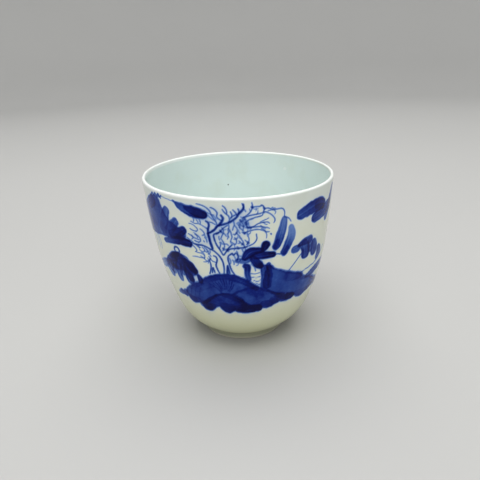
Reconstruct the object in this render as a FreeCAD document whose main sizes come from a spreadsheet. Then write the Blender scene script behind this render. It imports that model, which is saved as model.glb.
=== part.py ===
"""A small handleless porcelain teacup: a thrown bowl on a turned foot ring, under a thin skin of glaze.

Millimetres, +Z up. The origin is on the cup's axis, in the plane that the foot stands on.
Every piece is a body turned about Z from one outline, drawn in the XZ plane with X as the radius.
"""

import math
import os

import FreeCAD
import Part
import Sketcher

SHEET_NAME = "Sizes"

# Driving dimensions, in millimetres.
SIZES = {
    "cup_height": 61.0,
    "rim_radius": 34.0,
    "lip_round": 0.6,
    "glaze_skin": 0.2,
    # outside of the wall, from the foot up to the lip
    "joint_radius": 16.75,
    "joint_height": 3.0,
    "outer_belly_curve": 21.4,
    "outer_belly_radius": 25.6,
    "outer_belly_height": 13.5,
    "outer_side_radius": 31.5,
    "outer_side_height": 35.7,
    # inside of the wall, from the edge of the floor up to the lip
    "floor_edge_radius": 12.5,
    "floor_edge_height": 6.2,
    "inner_belly_curve": 14.0,
    "inner_belly_radius": 23.75,
    "inner_belly_height": 15.0,
    "inner_side_radius": 29.7,
    "inner_side_height": 36.0,
    # foot, from the joint down to the bare edge that stands on the table
    "foot_top_outer": 16.3,
    "foot_top_inner": 12.8,
    "foot_glaze_end_outer": 16.1,
    "foot_glaze_end_inner": 13.0,
    "foot_glaze_end_height": 0.9,
    "foot_base_outer": 15.9,
    "foot_base_inner": 13.2,
    "foot_edge_round": 0.5,
}

# Sizes that follow from the ones above, as spreadsheet formulas.
FORMULAS = {
    "lip_centre_radius": "=rim_radius - lip_round",
    "lip_centre_height": "=cup_height - lip_round",
    "bare_lip_round": "=lip_round - glaze_skin",
}

# Where each face of the wall starts, as a radius and a height.
WALL_STARTS = {
    "outer": ("joint_radius", "joint_height"),
    "inner": ("floor_edge_radius", "floor_edge_height"),
}

START, END, CENTRE = 1, 2, 3
ORIGIN_POINT = (-1, 1)
RADIUS_AXIS, TURN_AXIS = -1, -2


def make_sheet(doc):
    """The spreadsheet of sizes, with one named cell for each."""
    sheet = doc.addObject("Spreadsheet::Sheet", SHEET_NAME)
    for row, (name, value) in enumerate({**SIZES, **FORMULAS}.items(), start=1):
        sheet.set(f"A{row}", name)
        sheet.set(f"B{row}", str(value))
        sheet.setAlias(f"B{row}", name)
    doc.recompute()
    return sheet


def point(x, y):
    return FreeCAD.Vector(x, y, 0)


class TurnedPiece:
    """A body made by turning one closed outline about the cup's axis."""

    def __init__(self, sheet, label):
        self.sheet = sheet
        self.body = sheet.Document.addObject("PartDesign::Body", label)
        self.body.Label = label
        self.sketch = self.body.newObject("Sketcher::SketchObject", label + "_outline")
        planes = self.body.Origin.OriginFeatures
        plane = next(p for p in planes if p.Role == "XZ_Plane")
        self.sketch.AttachmentSupport = [(plane, "")]
        self.sketch.MapMode = "FlatFace"

    def size(self, name):
        return float(self.sheet.get(name))

    def spot(self, name_x, name_y):
        return point(self.size(name_x), self.size(name_y))

    def rule(self, *what):
        return self.sketch.addConstraint(Sketcher.Constraint(*what))

    def sized_rule(self, kind, *where, name):
        """A constraint whose value is bound to a cell of the spreadsheet."""
        index = self.rule(kind, *where, self.size(name))
        self.sketch.setExpression(f"Constraints[{index}]", f"{SHEET_NAME}.{name}")

    def fix(self, edge, end, radius, height):
        """Puts an edge's end at a named radius and a named height."""
        self.sized_rule("DistanceX", *ORIGIN_POINT, edge, end, name=radius)
        self.sized_rule("DistanceY", *ORIGIN_POINT, edge, end, name=height)

    def line(self, a, b):
        return self.sketch.addGeometry(Part.LineSegment(a, b), False)

    def arc(self, centre, a, b, guide=False):
        """An arc about a centre, anticlockwise from a to b."""
        circle = Part.Circle(centre, FreeCAD.Vector(0, 0, 1), (a - centre).Length)
        turns = [math.atan2(p.y - centre.y, p.x - centre.x) for p in (a, b)]
        return self.sketch.addGeometry(Part.ArcOfCircle(circle, *turns), guide)

    def end_of(self, edge, end):
        return self.sketch.getPoint(edge, end)

    def join(self, *edges_and_ends):
        """Joins pairs of ends: edge, end, other edge, other end, and so on."""
        for i in range(0, len(edges_and_ends), 4):
            self.rule("Coincident", *edges_and_ends[i:i + 4])

    def turn(self):
        """Turns the outline once about the cup's axis."""
        self.sheet.Document.recompute()
        feature = self.body.newObject("PartDesign::Revolution", self.body.Label + "_turned")
        feature.Profile = self.sketch
        feature.ReferenceAxis = (self.sketch, ["V_Axis"])
        feature.Angle = 360
        self.sketch.Visibility = False
        return feature


def wall_centres(piece, side, lip_sign):
    """The wall's three joints and the centres of its curves, each running smoothly into the next."""
    start = piece.spot(*WALL_STARTS[side])
    belly_end = piece.spot(side + "_belly_radius", side + "_belly_height")
    side_end = piece.spot(side + "_side_radius", side + "_side_height")
    lip = piece.spot("lip_centre_radius", "lip_centre_height")
    round_ = piece.size("lip_round")

    curve = piece.size(side + "_belly_curve")
    chord = belly_end - start
    middle = (belly_end + start) * 0.5
    inward = point(-chord.y, chord.x).normalize()
    belly = middle + inward * math.sqrt(curve ** 2 - (chord.Length / 2) ** 2)

    inward = (belly - belly_end).normalize()
    chord = side_end - belly_end
    side_centre = belly_end + inward * (chord.Length ** 2 / (2 * chord.dot(inward)))

    inward = (side_centre - side_end).normalize()
    away = side_end - lip
    top = (round_ ** 2 - away.Length ** 2) / (2 * (away.dot(inward) + lip_sign * round_))
    upper = side_end + inward * top
    return start, belly_end, side_end, (belly, side_centre, upper)


def wall_face(piece, side, guide=False):
    """The glazed face of one side of the wall, as four smoothly joined curves up to the lip's top."""
    lip_sign = 1 if side == "outer" else -1
    start, belly_end, side_end, centres = wall_centres(piece, side, lip_sign)
    lip = piece.spot("lip_centre_radius", "lip_centre_height")
    round_ = piece.size("lip_round")
    touch = lip + (lip - centres[2]).normalize() * (round_ * lip_sign)
    ends = (start, belly_end, side_end, touch)
    curves = [piece.arc(centres[i], ends[i], ends[i + 1], guide) for i in range(3)]
    curves.append(lip_curve(piece, lip, touch, round_, lip_sign, guide))

    smooth_chain(piece, curves, lip_sign)
    piece.fix(curves[0], START, *WALL_STARTS[side])
    piece.sized_rule("Radius", curves[0], name=side + "_belly_curve")
    piece.fix(curves[0], END, side + "_belly_radius", side + "_belly_height")
    piece.fix(curves[1], END, side + "_side_radius", side + "_side_height")
    piece.fix(curves[3], CENTRE, "lip_centre_radius", "lip_centre_height")
    piece.sized_rule("Radius", curves[3], name="lip_round")
    return curves


def lip_curve(piece, lip, touch, round_, lip_sign, guide=False):
    """A quarter of the lip's round, between the wall and the top."""
    top = lip + point(0, round_)
    first, last = (touch, top) if lip_sign > 0 else (top, touch)
    return piece.arc(lip, first, last, guide)


def smooth_chain(piece, curves, lip_sign):
    """Joins the wall's curves and its lip with no corners, and puts the lip's end at the top."""
    for lower, upper in zip(curves[:2], curves[1:3]):
        piece.rule("Tangent", lower, END, upper, START)
    touch_end, top_end = (START, END) if lip_sign > 0 else (END, START)
    piece.rule("Tangent", curves[2], END, curves[3], touch_end)
    piece.rule("Vertical", curves[3], CENTRE, curves[3], top_end)


def inset_face(piece, face, side):
    """The porcelain under a glazed face: the same curves, set in by the glaze's thickness."""
    lip_sign = 1 if side == "outer" else -1
    skin = piece.size("glaze_skin") * lip_sign
    inset = []
    for edge in face[:3]:
        centre = piece.end_of(edge, CENTRE)
        a, b = (piece.end_of(edge, end) for end in (START, END))
        inset.append(piece.arc(centre, *[p + (centre - p).normalize() * skin for p in (a, b)]))
    lip = piece.end_of(face[3], CENTRE)
    touch = piece.end_of(inset[2], END)
    inset.append(lip_curve(piece, lip, touch, piece.size("bare_lip_round"), lip_sign))

    for edge, glazed in zip(inset, face):
        piece.rule("Coincident", edge, CENTRE, glazed, CENTRE)
    smooth_chain(piece, inset, lip_sign)
    piece.sized_rule("Radius", inset[3], name="bare_lip_round")
    return inset


def floor_face(piece, belly, guide=False):
    """The glazed floor inside the cup: a shallow dish that runs smoothly into the belly."""
    edge = piece.end_of(belly, START)
    inward = (piece.end_of(belly, CENTRE) - edge).normalize()
    centre = edge + inward * (edge.x / -inward.x)
    middle = point(0, centre.y - (centre - edge).Length)
    floor = piece.arc(centre, middle, edge, guide)
    piece.rule("Tangent", floor, END, belly, START)
    piece.rule("PointOnObject", floor, CENTRE, TURN_AXIS)
    piece.rule("PointOnObject", floor, START, TURN_AXIS)
    return floor


def inset_floor(piece, floor, belly):
    """The porcelain under the glazed floor."""
    centre = piece.end_of(floor, CENTRE)
    edge = piece.end_of(belly, START)
    middle = point(0, centre.y - (centre - edge).Length)
    inset = piece.arc(centre, middle, edge)
    piece.rule("Coincident", inset, CENTRE, floor, CENTRE)
    piece.rule("Tangent", inset, END, belly, START)
    piece.rule("PointOnObject", inset, START, TURN_AXIS)
    return inset


def make_outer_glaze(sheet):
    """The clear glaze over the outside of the wall, from the foot to the top of the lip."""
    piece = TurnedPiece(sheet, "outer_glaze")
    face = wall_face(piece, "outer")
    inset = inset_face(piece, face, "outer")
    foot = piece.line(piece.end_of(inset[0], START), piece.end_of(face[0], START))
    lip = piece.line(piece.end_of(face[3], END), piece.end_of(inset[3], END))
    piece.join(inset[0], START, foot, START, foot, END, face[0], START)
    piece.join(face[3], END, lip, START, lip, END, inset[3], END)
    piece.rule("Horizontal", foot)
    piece.turn()
    return piece


def make_inner_glaze(sheet):
    """The clear glaze over the floor and the inside of the wall, up to the top of the lip."""
    piece = TurnedPiece(sheet, "inner_glaze")
    face = wall_face(piece, "inner")
    floor = floor_face(piece, face[0])
    inset = inset_face(piece, face, "inner")
    under = inset_floor(piece, floor, inset[0])
    middle = piece.line(piece.end_of(under, START), piece.end_of(floor, START))
    lip = piece.line(piece.end_of(face[3], START), piece.end_of(inset[3], START))
    piece.join(under, START, middle, START, middle, END, floor, START)
    piece.join(face[3], START, lip, START, lip, END, inset[3], START)
    piece.turn()
    return piece


def make_bowl(sheet):
    """The porcelain body under the glaze: floor, wall and lip, with a flat underside."""
    piece = TurnedPiece(sheet, "bowl")
    outer = wall_face(piece, "outer", guide=True)
    inner = wall_face(piece, "inner", guide=True)
    floor = floor_face(piece, inner[0], guide=True)
    outside = inset_face(piece, outer, "outer")
    inside = inset_face(piece, inner, "inner")
    under = inset_floor(piece, floor, inside[0])
    base = piece.line(point(0, piece.size("joint_height")), piece.end_of(outside[0], START))
    middle = piece.line(piece.end_of(under, START), point(0, piece.size("joint_height")))
    piece.join(base, END, outside[0], START, middle, END, base, START, middle, START, under, START)
    piece.rule("Horizontal", base)
    piece.rule("PointOnObject", base, START, TURN_AXIS)
    piece.sized_rule("DistanceY", *ORIGIN_POINT, base, START, name="joint_height")
    piece.turn()
    return piece


def make_ring(sheet, label, corners):
    """A ring turned from four named corners, listed anticlockwise; a corner with no level is at the base."""
    piece = TurnedPiece(sheet, label)
    spots = [point(piece.size(r), piece.size(h) if h else 0) for r, h in corners]
    sides = [piece.line(a, b) for a, b in zip(spots, spots[1:] + spots[:1])]
    for side, following in zip(sides, sides[1:] + sides[:1]):
        piece.join(side, END, following, START)
    for side, (radius, level) in zip(sides, corners):
        piece.sized_rule("DistanceX", *ORIGIN_POINT, side, START, name=radius)
        if level:
            piece.sized_rule("DistanceY", *ORIGIN_POINT, side, START, name=level)
        else:
            piece.rule("PointOnObject", side, START, RADIUS_AXIS)
    piece.turn()
    return piece


def make_foot_ring(sheet):
    """The glazed upper part of the turned foot ring, under the bowl."""
    return make_ring(sheet, "foot_ring", [
        ("foot_glaze_end_inner", "foot_glaze_end_height"),
        ("foot_glaze_end_outer", "foot_glaze_end_height"),
        ("foot_top_outer", "joint_height"),
        ("foot_top_inner", "joint_height"),
    ])


def make_foot_rim(sheet):
    """The bare edge of the foot that stands on the table, rounded along both sides."""
    piece = make_ring(sheet, "foot_rim", [
        ("foot_base_inner", None),
        ("foot_base_outer", None),
        ("foot_glaze_end_outer", "foot_glaze_end_height"),
        ("foot_glaze_end_inner", "foot_glaze_end_height"),
    ])
    sheet.Document.recompute()
    turned = piece.body.Tip
    names = [
        f"Edge{i}" for i, edge in enumerate(turned.Shape.Edges, start=1)
        if edge.BoundBox.ZMax < piece.size("foot_edge_round") / 10 and edge.Closed
    ]
    rounds = piece.body.newObject("PartDesign::Fillet", "foot_rim_rounds")
    rounds.Base = (turned, names)
    rounds.Radius = piece.size("foot_edge_round")
    rounds.setExpression("Radius", f"{SHEET_NAME}.foot_edge_round")
    return piece


def check(doc):
    """Stops if any object failed to rebuild or has no sound shape."""
    for item in doc.Objects:
        if "Invalid" in item.State or "Error" in item.State:
            raise RuntimeError(f"{item.Label} did not rebuild")
        if item.isDerivedFrom("PartDesign::Feature") or item.isDerivedFrom("PartDesign::Body"):
            if item.Shape.isNull() or not item.Shape.isValid():
                raise RuntimeError(f"{item.Label} has no sound shape")


def main():
    doc = FreeCAD.newDocument("teacup")
    sheet = make_sheet(doc)
    makers = (make_bowl, make_foot_ring, make_foot_rim, make_outer_glaze, make_inner_glaze)
    pieces = [make(sheet) for make in makers]
    for piece in pieces:
        piece.body.Placement = FreeCAD.Placement()
    doc.recompute()
    check(doc)

    os.makedirs("parts", exist_ok=True)
    for piece in pieces:
        shape = piece.body.Shape
        shape.exportStep(f"parts/{piece.body.Label}.step")
        print(piece.body.Label, len(shape.Solids), "solid", round(shape.Volume, 1), "mm3")


main()
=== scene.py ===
"""A small blue-and-white porcelain teacup: thrown bowl, turned foot, brushed landscape and clear glaze.

Outlines and brush strokes are given in millimetres and degrees; the meshes are in metres, in the frame's
own axes. Angles round the cup run from 0 at the middle of the painted front, positive to its right.
"""

import math

import bpy
import numpy as np
from bpy.props import FloatProperty, FloatVectorProperty, IntProperty, PointerProperty
from mathutils import Matrix, Vector


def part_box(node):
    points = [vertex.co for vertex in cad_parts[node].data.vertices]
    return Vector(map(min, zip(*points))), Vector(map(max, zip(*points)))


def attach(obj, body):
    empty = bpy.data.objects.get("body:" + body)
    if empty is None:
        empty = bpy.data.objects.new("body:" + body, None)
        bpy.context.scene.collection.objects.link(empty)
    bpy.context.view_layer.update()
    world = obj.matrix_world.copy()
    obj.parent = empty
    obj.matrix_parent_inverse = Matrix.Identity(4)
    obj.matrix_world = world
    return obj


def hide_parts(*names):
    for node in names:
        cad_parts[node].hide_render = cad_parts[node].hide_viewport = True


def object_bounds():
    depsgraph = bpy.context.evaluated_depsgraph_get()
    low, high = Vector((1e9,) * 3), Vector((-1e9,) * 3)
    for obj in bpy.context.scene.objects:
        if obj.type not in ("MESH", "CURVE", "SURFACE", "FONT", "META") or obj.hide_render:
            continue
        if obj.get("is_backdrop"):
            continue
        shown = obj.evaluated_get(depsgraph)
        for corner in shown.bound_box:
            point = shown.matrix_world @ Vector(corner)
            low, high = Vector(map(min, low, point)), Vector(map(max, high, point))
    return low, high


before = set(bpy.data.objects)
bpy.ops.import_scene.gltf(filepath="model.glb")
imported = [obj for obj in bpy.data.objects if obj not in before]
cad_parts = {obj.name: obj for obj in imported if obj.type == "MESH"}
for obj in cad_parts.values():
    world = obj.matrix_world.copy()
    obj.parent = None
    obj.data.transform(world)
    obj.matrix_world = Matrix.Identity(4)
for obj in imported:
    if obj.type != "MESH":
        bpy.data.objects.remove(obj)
CAD_LOW, CAD_HIGH = (list(corner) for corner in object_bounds())

bl_info = {
    "name": "Blue-and-White Teacup",
    "version": (1, 0, 0),
    "blender": (4, 5, 0),
    "location": "3D View > Sidebar > Teacup",
    "description": "Builds a thrown porcelain teacup with a landscape brushed in cobalt under its glaze",
    "category": "Object",
}

MM = 0.001
CUP_HEIGHT = CAD_HIGH[2] / MM
RIM_RADIUS = CAD_HIGH[0] / MM
JOINT_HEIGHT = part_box("foot_ring")[1].z / MM
BARE_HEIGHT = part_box("foot_rim")[1].z / MM
LIP_ROUND = 0.6
SKIN = 0.2
# The body lies a little deeper than the glaze skins' hidden faces, and all of them stop near here.
BODY_INSET = 1.4 * SKIN
SKIN_TOP = CUP_HEIGHT - 1.4
# Round the painted wall, degrees become millimetres at this radius.
WALL_RADIUS = 33.0
SHARP_EDGE = math.radians(50)
ON_AXIS = 1e-6
# A full turn, from which random waves take their start.
ANY_PHASE = 6.28

# ---------------------------------------------------------------- outlines

# Each arc of the wall: its centre's radius and height, its own radius, and the height where it ends.
OUTER_CURVES = (
    (5.68, 21.31, 21.4, 13.5),
    (-68.44, 50.38, 101.01, 35.7),
    (-242.1, 75.88, 276.54, CUP_HEIGHT),
)
INNER_CURVES = (
    (0.0, 102.94, 97.55, 6.2),
    (10.71, 20.08, 14.0, 15.0),
    (-82.79, 56.53, 114.35, 36.0),
    (-193.6, 76.75, 227.0, CUP_HEIGHT),
)


def wall_radius(height, curves, inset=0.0):
    """The wall's radius at each height, from its arcs; inset moves the face along its own curve."""
    height = np.atleast_1d(np.asarray(height, float))
    radius = np.zeros_like(height)
    below = -1e9
    for centre, level, curve, top in curves:
        here = (height > below) & (height <= top + 1e-9)
        reach = np.maximum((curve - inset) ** 2 - (height[here] - level) ** 2, 0.0)
        radius[here] = centre + np.sqrt(reach)
        below = top
    return radius


def spaced(low, high, count, crowd):
    """Values from low to high, closer together where crowd, a function of the value, is larger."""
    fine = np.linspace(low, high, 800)
    steps = np.concatenate([[0], np.cumsum(crowd((fine[1:] + fine[:-1]) / 2))])
    return np.interp(np.linspace(0, steps[-1], count), steps, fine)


def lip_outline(count):
    """The lip's round, from its outside over the top to its inside."""
    turn = np.radians(np.linspace(3, 177, count))
    centre = RIM_RADIUS - LIP_ROUND
    level = CUP_HEIGHT - LIP_ROUND
    return np.stack([centre + LIP_ROUND * np.cos(turn), level + LIP_ROUND * np.sin(turn)], -1)


# How far the wall leans to its right, in mm, at some heights.
LEAN_HEIGHTS = (0, 3, 12, 22, 40, CUP_HEIGHT)
LEAN = (0, 0.08, 0.42, 0.42, 0.05, -0.28)


def settle(points):
    """Moves true turned points as the soft clay did: a slight lean of the belly and an uneven rim."""
    x, y, z = points.T
    lean = np.interp(z, LEAN_HEIGHTS, LEAN)
    rise = np.clip((z - JOINT_HEIGHT) / CUP_HEIGHT, 0, 1) ** 1.5
    angle = np.arctan2(x, -y)
    swell = 1 + rise * (0.004 * np.cos(2 * angle + 3.0) + 0.0008 * np.cos(3 * angle - 1.1))
    lift = rise * (-0.012 * x + 0.05 * np.sin(2 * angle + 0.4))
    return np.stack([x * swell + lean, y * swell, z + lift], -1)


def throwing_marks(angle, height, seed, depth):
    """Faint rings and soft hollows that a hand leaves on a thrown wall, in mm."""
    luck = np.random.default_rng(seed)
    marks = np.zeros(np.broadcast(angle, height).shape)
    layers = 7
    for _ in range(layers):
        waves = luck.uniform(0.25, 1.1)
        round_cup = luck.integers(0, 4)
        marks = marks + np.sin(waves * height + round_cup * angle + luck.uniform(0, ANY_PHASE)) / layers
    return depth * marks


def turned_mesh(name, outline, angles, marks=None):
    """A closed mesh turned from a closed outline of (radius, height) points."""
    outline = np.asarray(outline, float)
    rings, turns = len(outline), len(angles)
    radius = np.repeat(outline[:, :1], turns, 1)
    height = np.repeat(outline[:, 1:], turns, 1)
    if marks is not None:
        radius = radius + marks
    points = np.stack([radius * np.sin(angles), -radius * np.cos(angles), height], -1)
    points = settle(points.reshape(-1, 3))

    ring = np.arange(rings)[:, None]
    turn = np.arange(turns)[None, :]
    after_ring, after_turn = (ring + 1) % rings, (turn + 1) % turns
    corners = np.stack([
        ring * turns + turn,
        ring * turns + after_turn,
        after_ring * turns + after_turn,
        after_ring * turns + turn,
    ], -1).reshape(-1, 4)
    on_axis = outline[:, 0] < ON_AXIS
    return mesh_from(name, points, corners, on_axis, turns)


def mesh_from(name, points, corners, on_axis, turns):
    """Makes the mesh, with every ring on the axis drawn in to one point, and lists the points it keeps."""
    owner = np.arange(len(points))
    for ring in np.nonzero(on_axis)[0]:
        owner[ring * turns:(ring + 1) * turns] = ring * turns
    used, renamed = np.unique(owner, return_inverse=True)
    corners = renamed[corners]
    faces = []
    for face in corners.tolist():
        kept = [v for i, v in enumerate(face) if v != face[i - 1]]
        if len(kept) > 2:
            faces.append(kept)
    mesh = bpy.data.meshes.new(name)
    mesh.from_pydata((points[used] * MM).tolist(), [], faces)
    mesh.validate()
    mesh.polygons.foreach_set("use_smooth", [True] * len(mesh.polygons))
    mesh.set_sharp_from_angle(angle=SHARP_EDGE)
    mesh.update()
    return mesh, used


def add_piece(name, mesh, material, node):
    """Puts a finished piece in the scene, in place of its plain solid."""
    piece = bpy.data.objects.new(name, mesh)
    bpy.context.scene.collection.objects.link(piece)
    mesh.materials.append(material)
    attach(piece, "root")
    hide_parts(node)


# ---------------------------------------------------------------- brushwork

def smooth_run(points, closed=False, steps=7):
    """Points along a smooth curve through the given ones, each of them a row of numbers."""
    rows = np.asarray(points, float)
    if closed:
        rows = np.vstack([rows[-1:], rows, rows[:2]])
    else:
        rows = np.vstack([2 * rows[:1] - rows[1:2], rows, 2 * rows[-1:] - rows[-2:-1]])
    before, start, end, after = rows[:-3], rows[1:-2], rows[2:-1], rows[3:]
    t = np.arange(steps)[None, :, None] / steps
    b, s, e, a = (part[:, None, :] for part in (before, start, end, after))
    curve = 0.5 * (2 * s + (e - b) * t + (2 * b - 5 * s + 4 * e - a) * t ** 2
                   + (3 * s - b - 3 * e + a) * t ** 3)
    curve = curve.reshape(-1, rows.shape[1])
    return curve if closed else np.vstack([curve, rows[-2:-1]])


def ease(value, low, high):
    """0 below low, 1 above high, and a soft rise between them."""
    t = np.clip((value - low) / (high - low), 0, 1)
    return t * t * (3 - 2 * t)


def soft_noise(luck, shape, cells):
    """Smooth random hills over a grid, from -1 to 1, with that many cells down and round."""
    down, turn = cells
    lattice = luck.uniform(-1, 1, (down + 2, turn))
    y = np.linspace(0, down, shape[0])
    x = np.arange(shape[1]) / shape[1] * turn
    y0, x0 = np.minimum(y.astype(int), down), x.astype(int)
    v, u = ease(y - y0, 0, 1)[:, None], ease(x - x0, 0, 1)[None, :]
    y0, x0, x1 = y0[:, None], x0[None, :] % turn, (x0[None, :] + 1) % turn
    top = lattice[y0, x0] * (1 - u) + lattice[y0, x1] * u
    foot = lattice[y0 + 1, x0] * (1 - u) + lattice[y0 + 1, x1] * u
    return top * (1 - v) + foot * v


class Painting:
    """Cobalt laid on the wall: a depth of colour from 0 to 1 at each point of the wall's grid."""

    DEEPEST = 0.97  # no single stroke is darker than this
    MARGIN = 1.5  # how far past a stroke its soft edge is looked for, in mm
    FAR = 99.0  # stands for a place that no mark is near, in mm
    HOOK_STEPS = 4
    # How far an edge wanders and where its darker rim lies, in mm, and how uneven the colour is.
    STROKE_WANDER, STROKE_RIM, STROKE_RIM_WIDTH, STROKE_CLOUD = 0.16, 0.25, 0.3, 0.12
    WASH_WANDER, WASH_RIM, WASH_RIM_WIDTH, WASH_CLOUD = 0.22, 0.3, 0.35, 0.16

    def __init__(self, angles, heights, radii, seed):
        self.angles = np.degrees(angles)
        self.heights, self.radii = heights, radii
        lengths = np.hypot(np.diff(heights), np.diff(radii))
        self.rise = np.concatenate([[0], np.cumsum(lengths)])
        self.ink = np.zeros((len(heights), len(angles)))
        self.luck = np.random.default_rng(seed)
        shape = self.ink.shape
        self.wobble = soft_noise(self.luck, shape, (36, 130))
        self.cloud = soft_noise(self.luck, shape, (14, 50)) + 0.5 * soft_noise(self.luck, shape, (30, 110))
        # A third layer is drawn and left out, so that the luck of every stroke stays the same.
        soft_noise(self.luck, shape, (70, 330))

    def window(self, marks, margin):
        """The part of the grid near some (angle, height) marks, and the marks in mm on it."""
        turn, level = marks[:, 0], marks[:, 1]
        middle = (turn.min() + turn.max()) / 2
        off = (self.angles - middle + 180) % 360 - 180
        reach = (turn.max() - turn.min()) / 2 + math.degrees(margin / self.radii.max()) * 1.6
        rise = np.interp(level, self.heights, self.rise)
        rows = np.nonzero((self.rise > rise.min() - margin) & (self.rise < rise.max() + margin))[0]
        columns = np.nonzero(np.abs(off) < reach)[0]
        x = np.radians(off[columns])[None, :] * self.radii[rows][:, None]
        y = np.repeat(self.rise[rows][:, None], len(columns), 1)
        marks_x = np.radians(turn - middle) * np.interp(level, self.heights, self.radii)
        return np.ix_(rows, columns), x, y, marks_x, rise

    def lay(self, grid, depth):
        """Lays more cobalt over what is there; where it crosses older colour it deepens it."""
        self.ink[grid] = 1 - (1 - self.ink[grid]) * (1 - np.clip(depth, 0, self.DEEPEST))

    def brush(self, marks, tone, streaks=0.22, edge=0.3, pool=0.16):
        """One stroke through (angle, height, half width) marks; tone is one depth, or one at each end."""
        path = smooth_run(marks)
        widths = np.maximum(path[:, 2], 0.05)
        grid, x, y, px, py = self.window(path, widths.max() + self.MARGIN)
        inside = np.full(x.shape, -self.FAR)
        along, side = np.zeros(x.shape), np.zeros(x.shape)
        run = np.concatenate([[0], np.cumsum(np.hypot(np.diff(px), np.diff(py)))])
        for i in range(len(px) - 1):
            dx, dy = px[i + 1] - px[i], py[i + 1] - py[i]
            length = max(math.hypot(dx, dy), 1e-6)
            t = np.clip(((x - px[i]) * dx + (y - py[i]) * dy) / length ** 2, 0, 1)
            off_x, off_y = x - px[i] - t * dx, y - py[i] - t * dy
            width = widths[i] + t * (widths[i + 1] - widths[i])
            here = width - np.hypot(off_x, off_y)
            closer = here > inside
            inside = np.where(closer, here, inside)
            along = np.where(closer, run[i] + t * length, along)
            side = np.where(closer, (off_x * dy - off_y * dx) / (length * width), side)
        inside = inside + self.STROKE_WANDER * self.wobble[grid] * min(1.0, widths.max())
        cover = ease(inside, -edge, edge * 0.7)
        tones = np.atleast_1d(tone)
        share = along / run[-1]
        depth = tones[0] + (tones[-1] - tones[0]) * ease(share, 0.1, 0.9)
        phases = self.luck.uniform(0, ANY_PHASE, 3)
        hairs = sum(np.sin(k * side + phase + 0.25 * along) for k, phase in zip((5, 9, 14), phases)) / 3
        rim = np.exp(-((inside - self.STROKE_RIM) / self.STROKE_RIM_WIDTH) ** 2) * (widths.max() > 0.6)
        depth = depth * (1 + streaks * hairs + self.STROKE_CLOUD * self.cloud[grid]) + pool * rim * depth
        self.lay(grid, cover * depth)

    def line(self, marks, width, tone):
        """A thin line of even width through (angle, height) marks, drawn with the brush's point."""
        ends = 0, len(marks) - 1
        tapered = [(a, h, width * (0.75 if i in ends else 1)) for i, (a, h) in enumerate(marks)]
        self.brush(tapered, tone, streaks=0.1, edge=0.24, pool=0)

    def strokes(self, *rows):
        """Several strokes in turn; each row is a tone and then the stroke's marks."""
        for tone, *marks in rows:
            self.brush(marks, tone)

    def lines(self, *rows):
        """Several thin lines in turn; each row is a width, a tone and then the line's marks."""
        for width, tone, *marks in rows:
            self.line(marks, width, tone)

    def wash(self, outline, tone, edge=0.35, pool=0.22, slope=0.0):
        """A closed area of thin colour; slope deepens it towards its foot."""
        path = smooth_run(outline, closed=True)
        grid, x, y, px, py = self.window(path, self.MARGIN)
        near = np.full(x.shape, self.FAR)
        within = np.zeros(x.shape, bool)
        for i in range(len(px)):
            x0, y0, x1, y1 = px[i - 1], py[i - 1], px[i], py[i]
            dx, dy = x1 - x0, y1 - y0
            t = np.clip(((x - x0) * dx + (y - y0) * dy) / max(dx * dx + dy * dy, 1e-9), 0, 1)
            near = np.minimum(near, np.hypot(x - x0 - t * dx, y - y0 - t * dy))
            if dy != 0:
                within ^= ((y0 > y) != (y1 > y)) & (x < x0 + (y - y0) * dx / dy)
        inside = np.where(within, near, -near) + self.WASH_WANDER * self.wobble[grid]
        cover = ease(inside, -edge, edge * 0.7)
        fall = (py.max() - y) / (py.max() - py.min())
        rim = np.exp(-((inside - self.WASH_RIM) / self.WASH_RIM_WIDTH) ** 2)
        depth = tone * (1 + slope * (fall - 0.5) + self.WASH_CLOUD * self.cloud[grid] + pool * rim)
        self.lay(grid, cover * depth)

    def hook(self, x, y, length, heading, bend, width, tone):
        """A small curved stroke from a point in mm round the wall and up it."""
        marks = [(x, y)]
        step = length / self.HOOK_STEPS
        for _ in range(self.HOOK_STEPS):
            x, y = x + math.cos(heading) * step, y + math.sin(heading) * step
            heading += bend
            marks.append((x, y))
        self.line([(math.degrees(a / WALL_RADIUS), h) for a, h in marks], width, tone)

    def twigs(self, branch, spacing, reach, curl, tone, width=0.13):
        """Short hooked twigs along a branch of (angle, height) marks, on each side in turn."""
        path = smooth_run(branch, steps=10)
        turn = np.radians(path[:, 0]) * WALL_RADIUS
        run = np.concatenate([[0], np.cumsum(np.hypot(np.diff(turn), np.diff(path[:, 1])))])
        for number, stop in enumerate(np.arange(spacing * 0.6, run[-1], spacing)):
            stop = stop + self.luck.uniform(-0.3, 0.3) * spacing
            x, y = np.interp(stop, run, turn), np.interp(stop, run, path[:, 1])
            ahead = np.interp(stop + 0.5, run, turn) - x, np.interp(stop + 0.5, run, path[:, 1]) - y
            side = (1, -1)[number % 2]
            heading = math.atan2(ahead[1], ahead[0]) + side * self.luck.uniform(0.8, 1.3)
            length = reach * self.luck.uniform(0.6, 1.2)
            bend = -side * curl * self.luck.uniform(0.4, 1.2)
            self.hook(x, y, length, heading, bend, width, tone * self.luck.uniform(0.7, 1.1))

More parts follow.
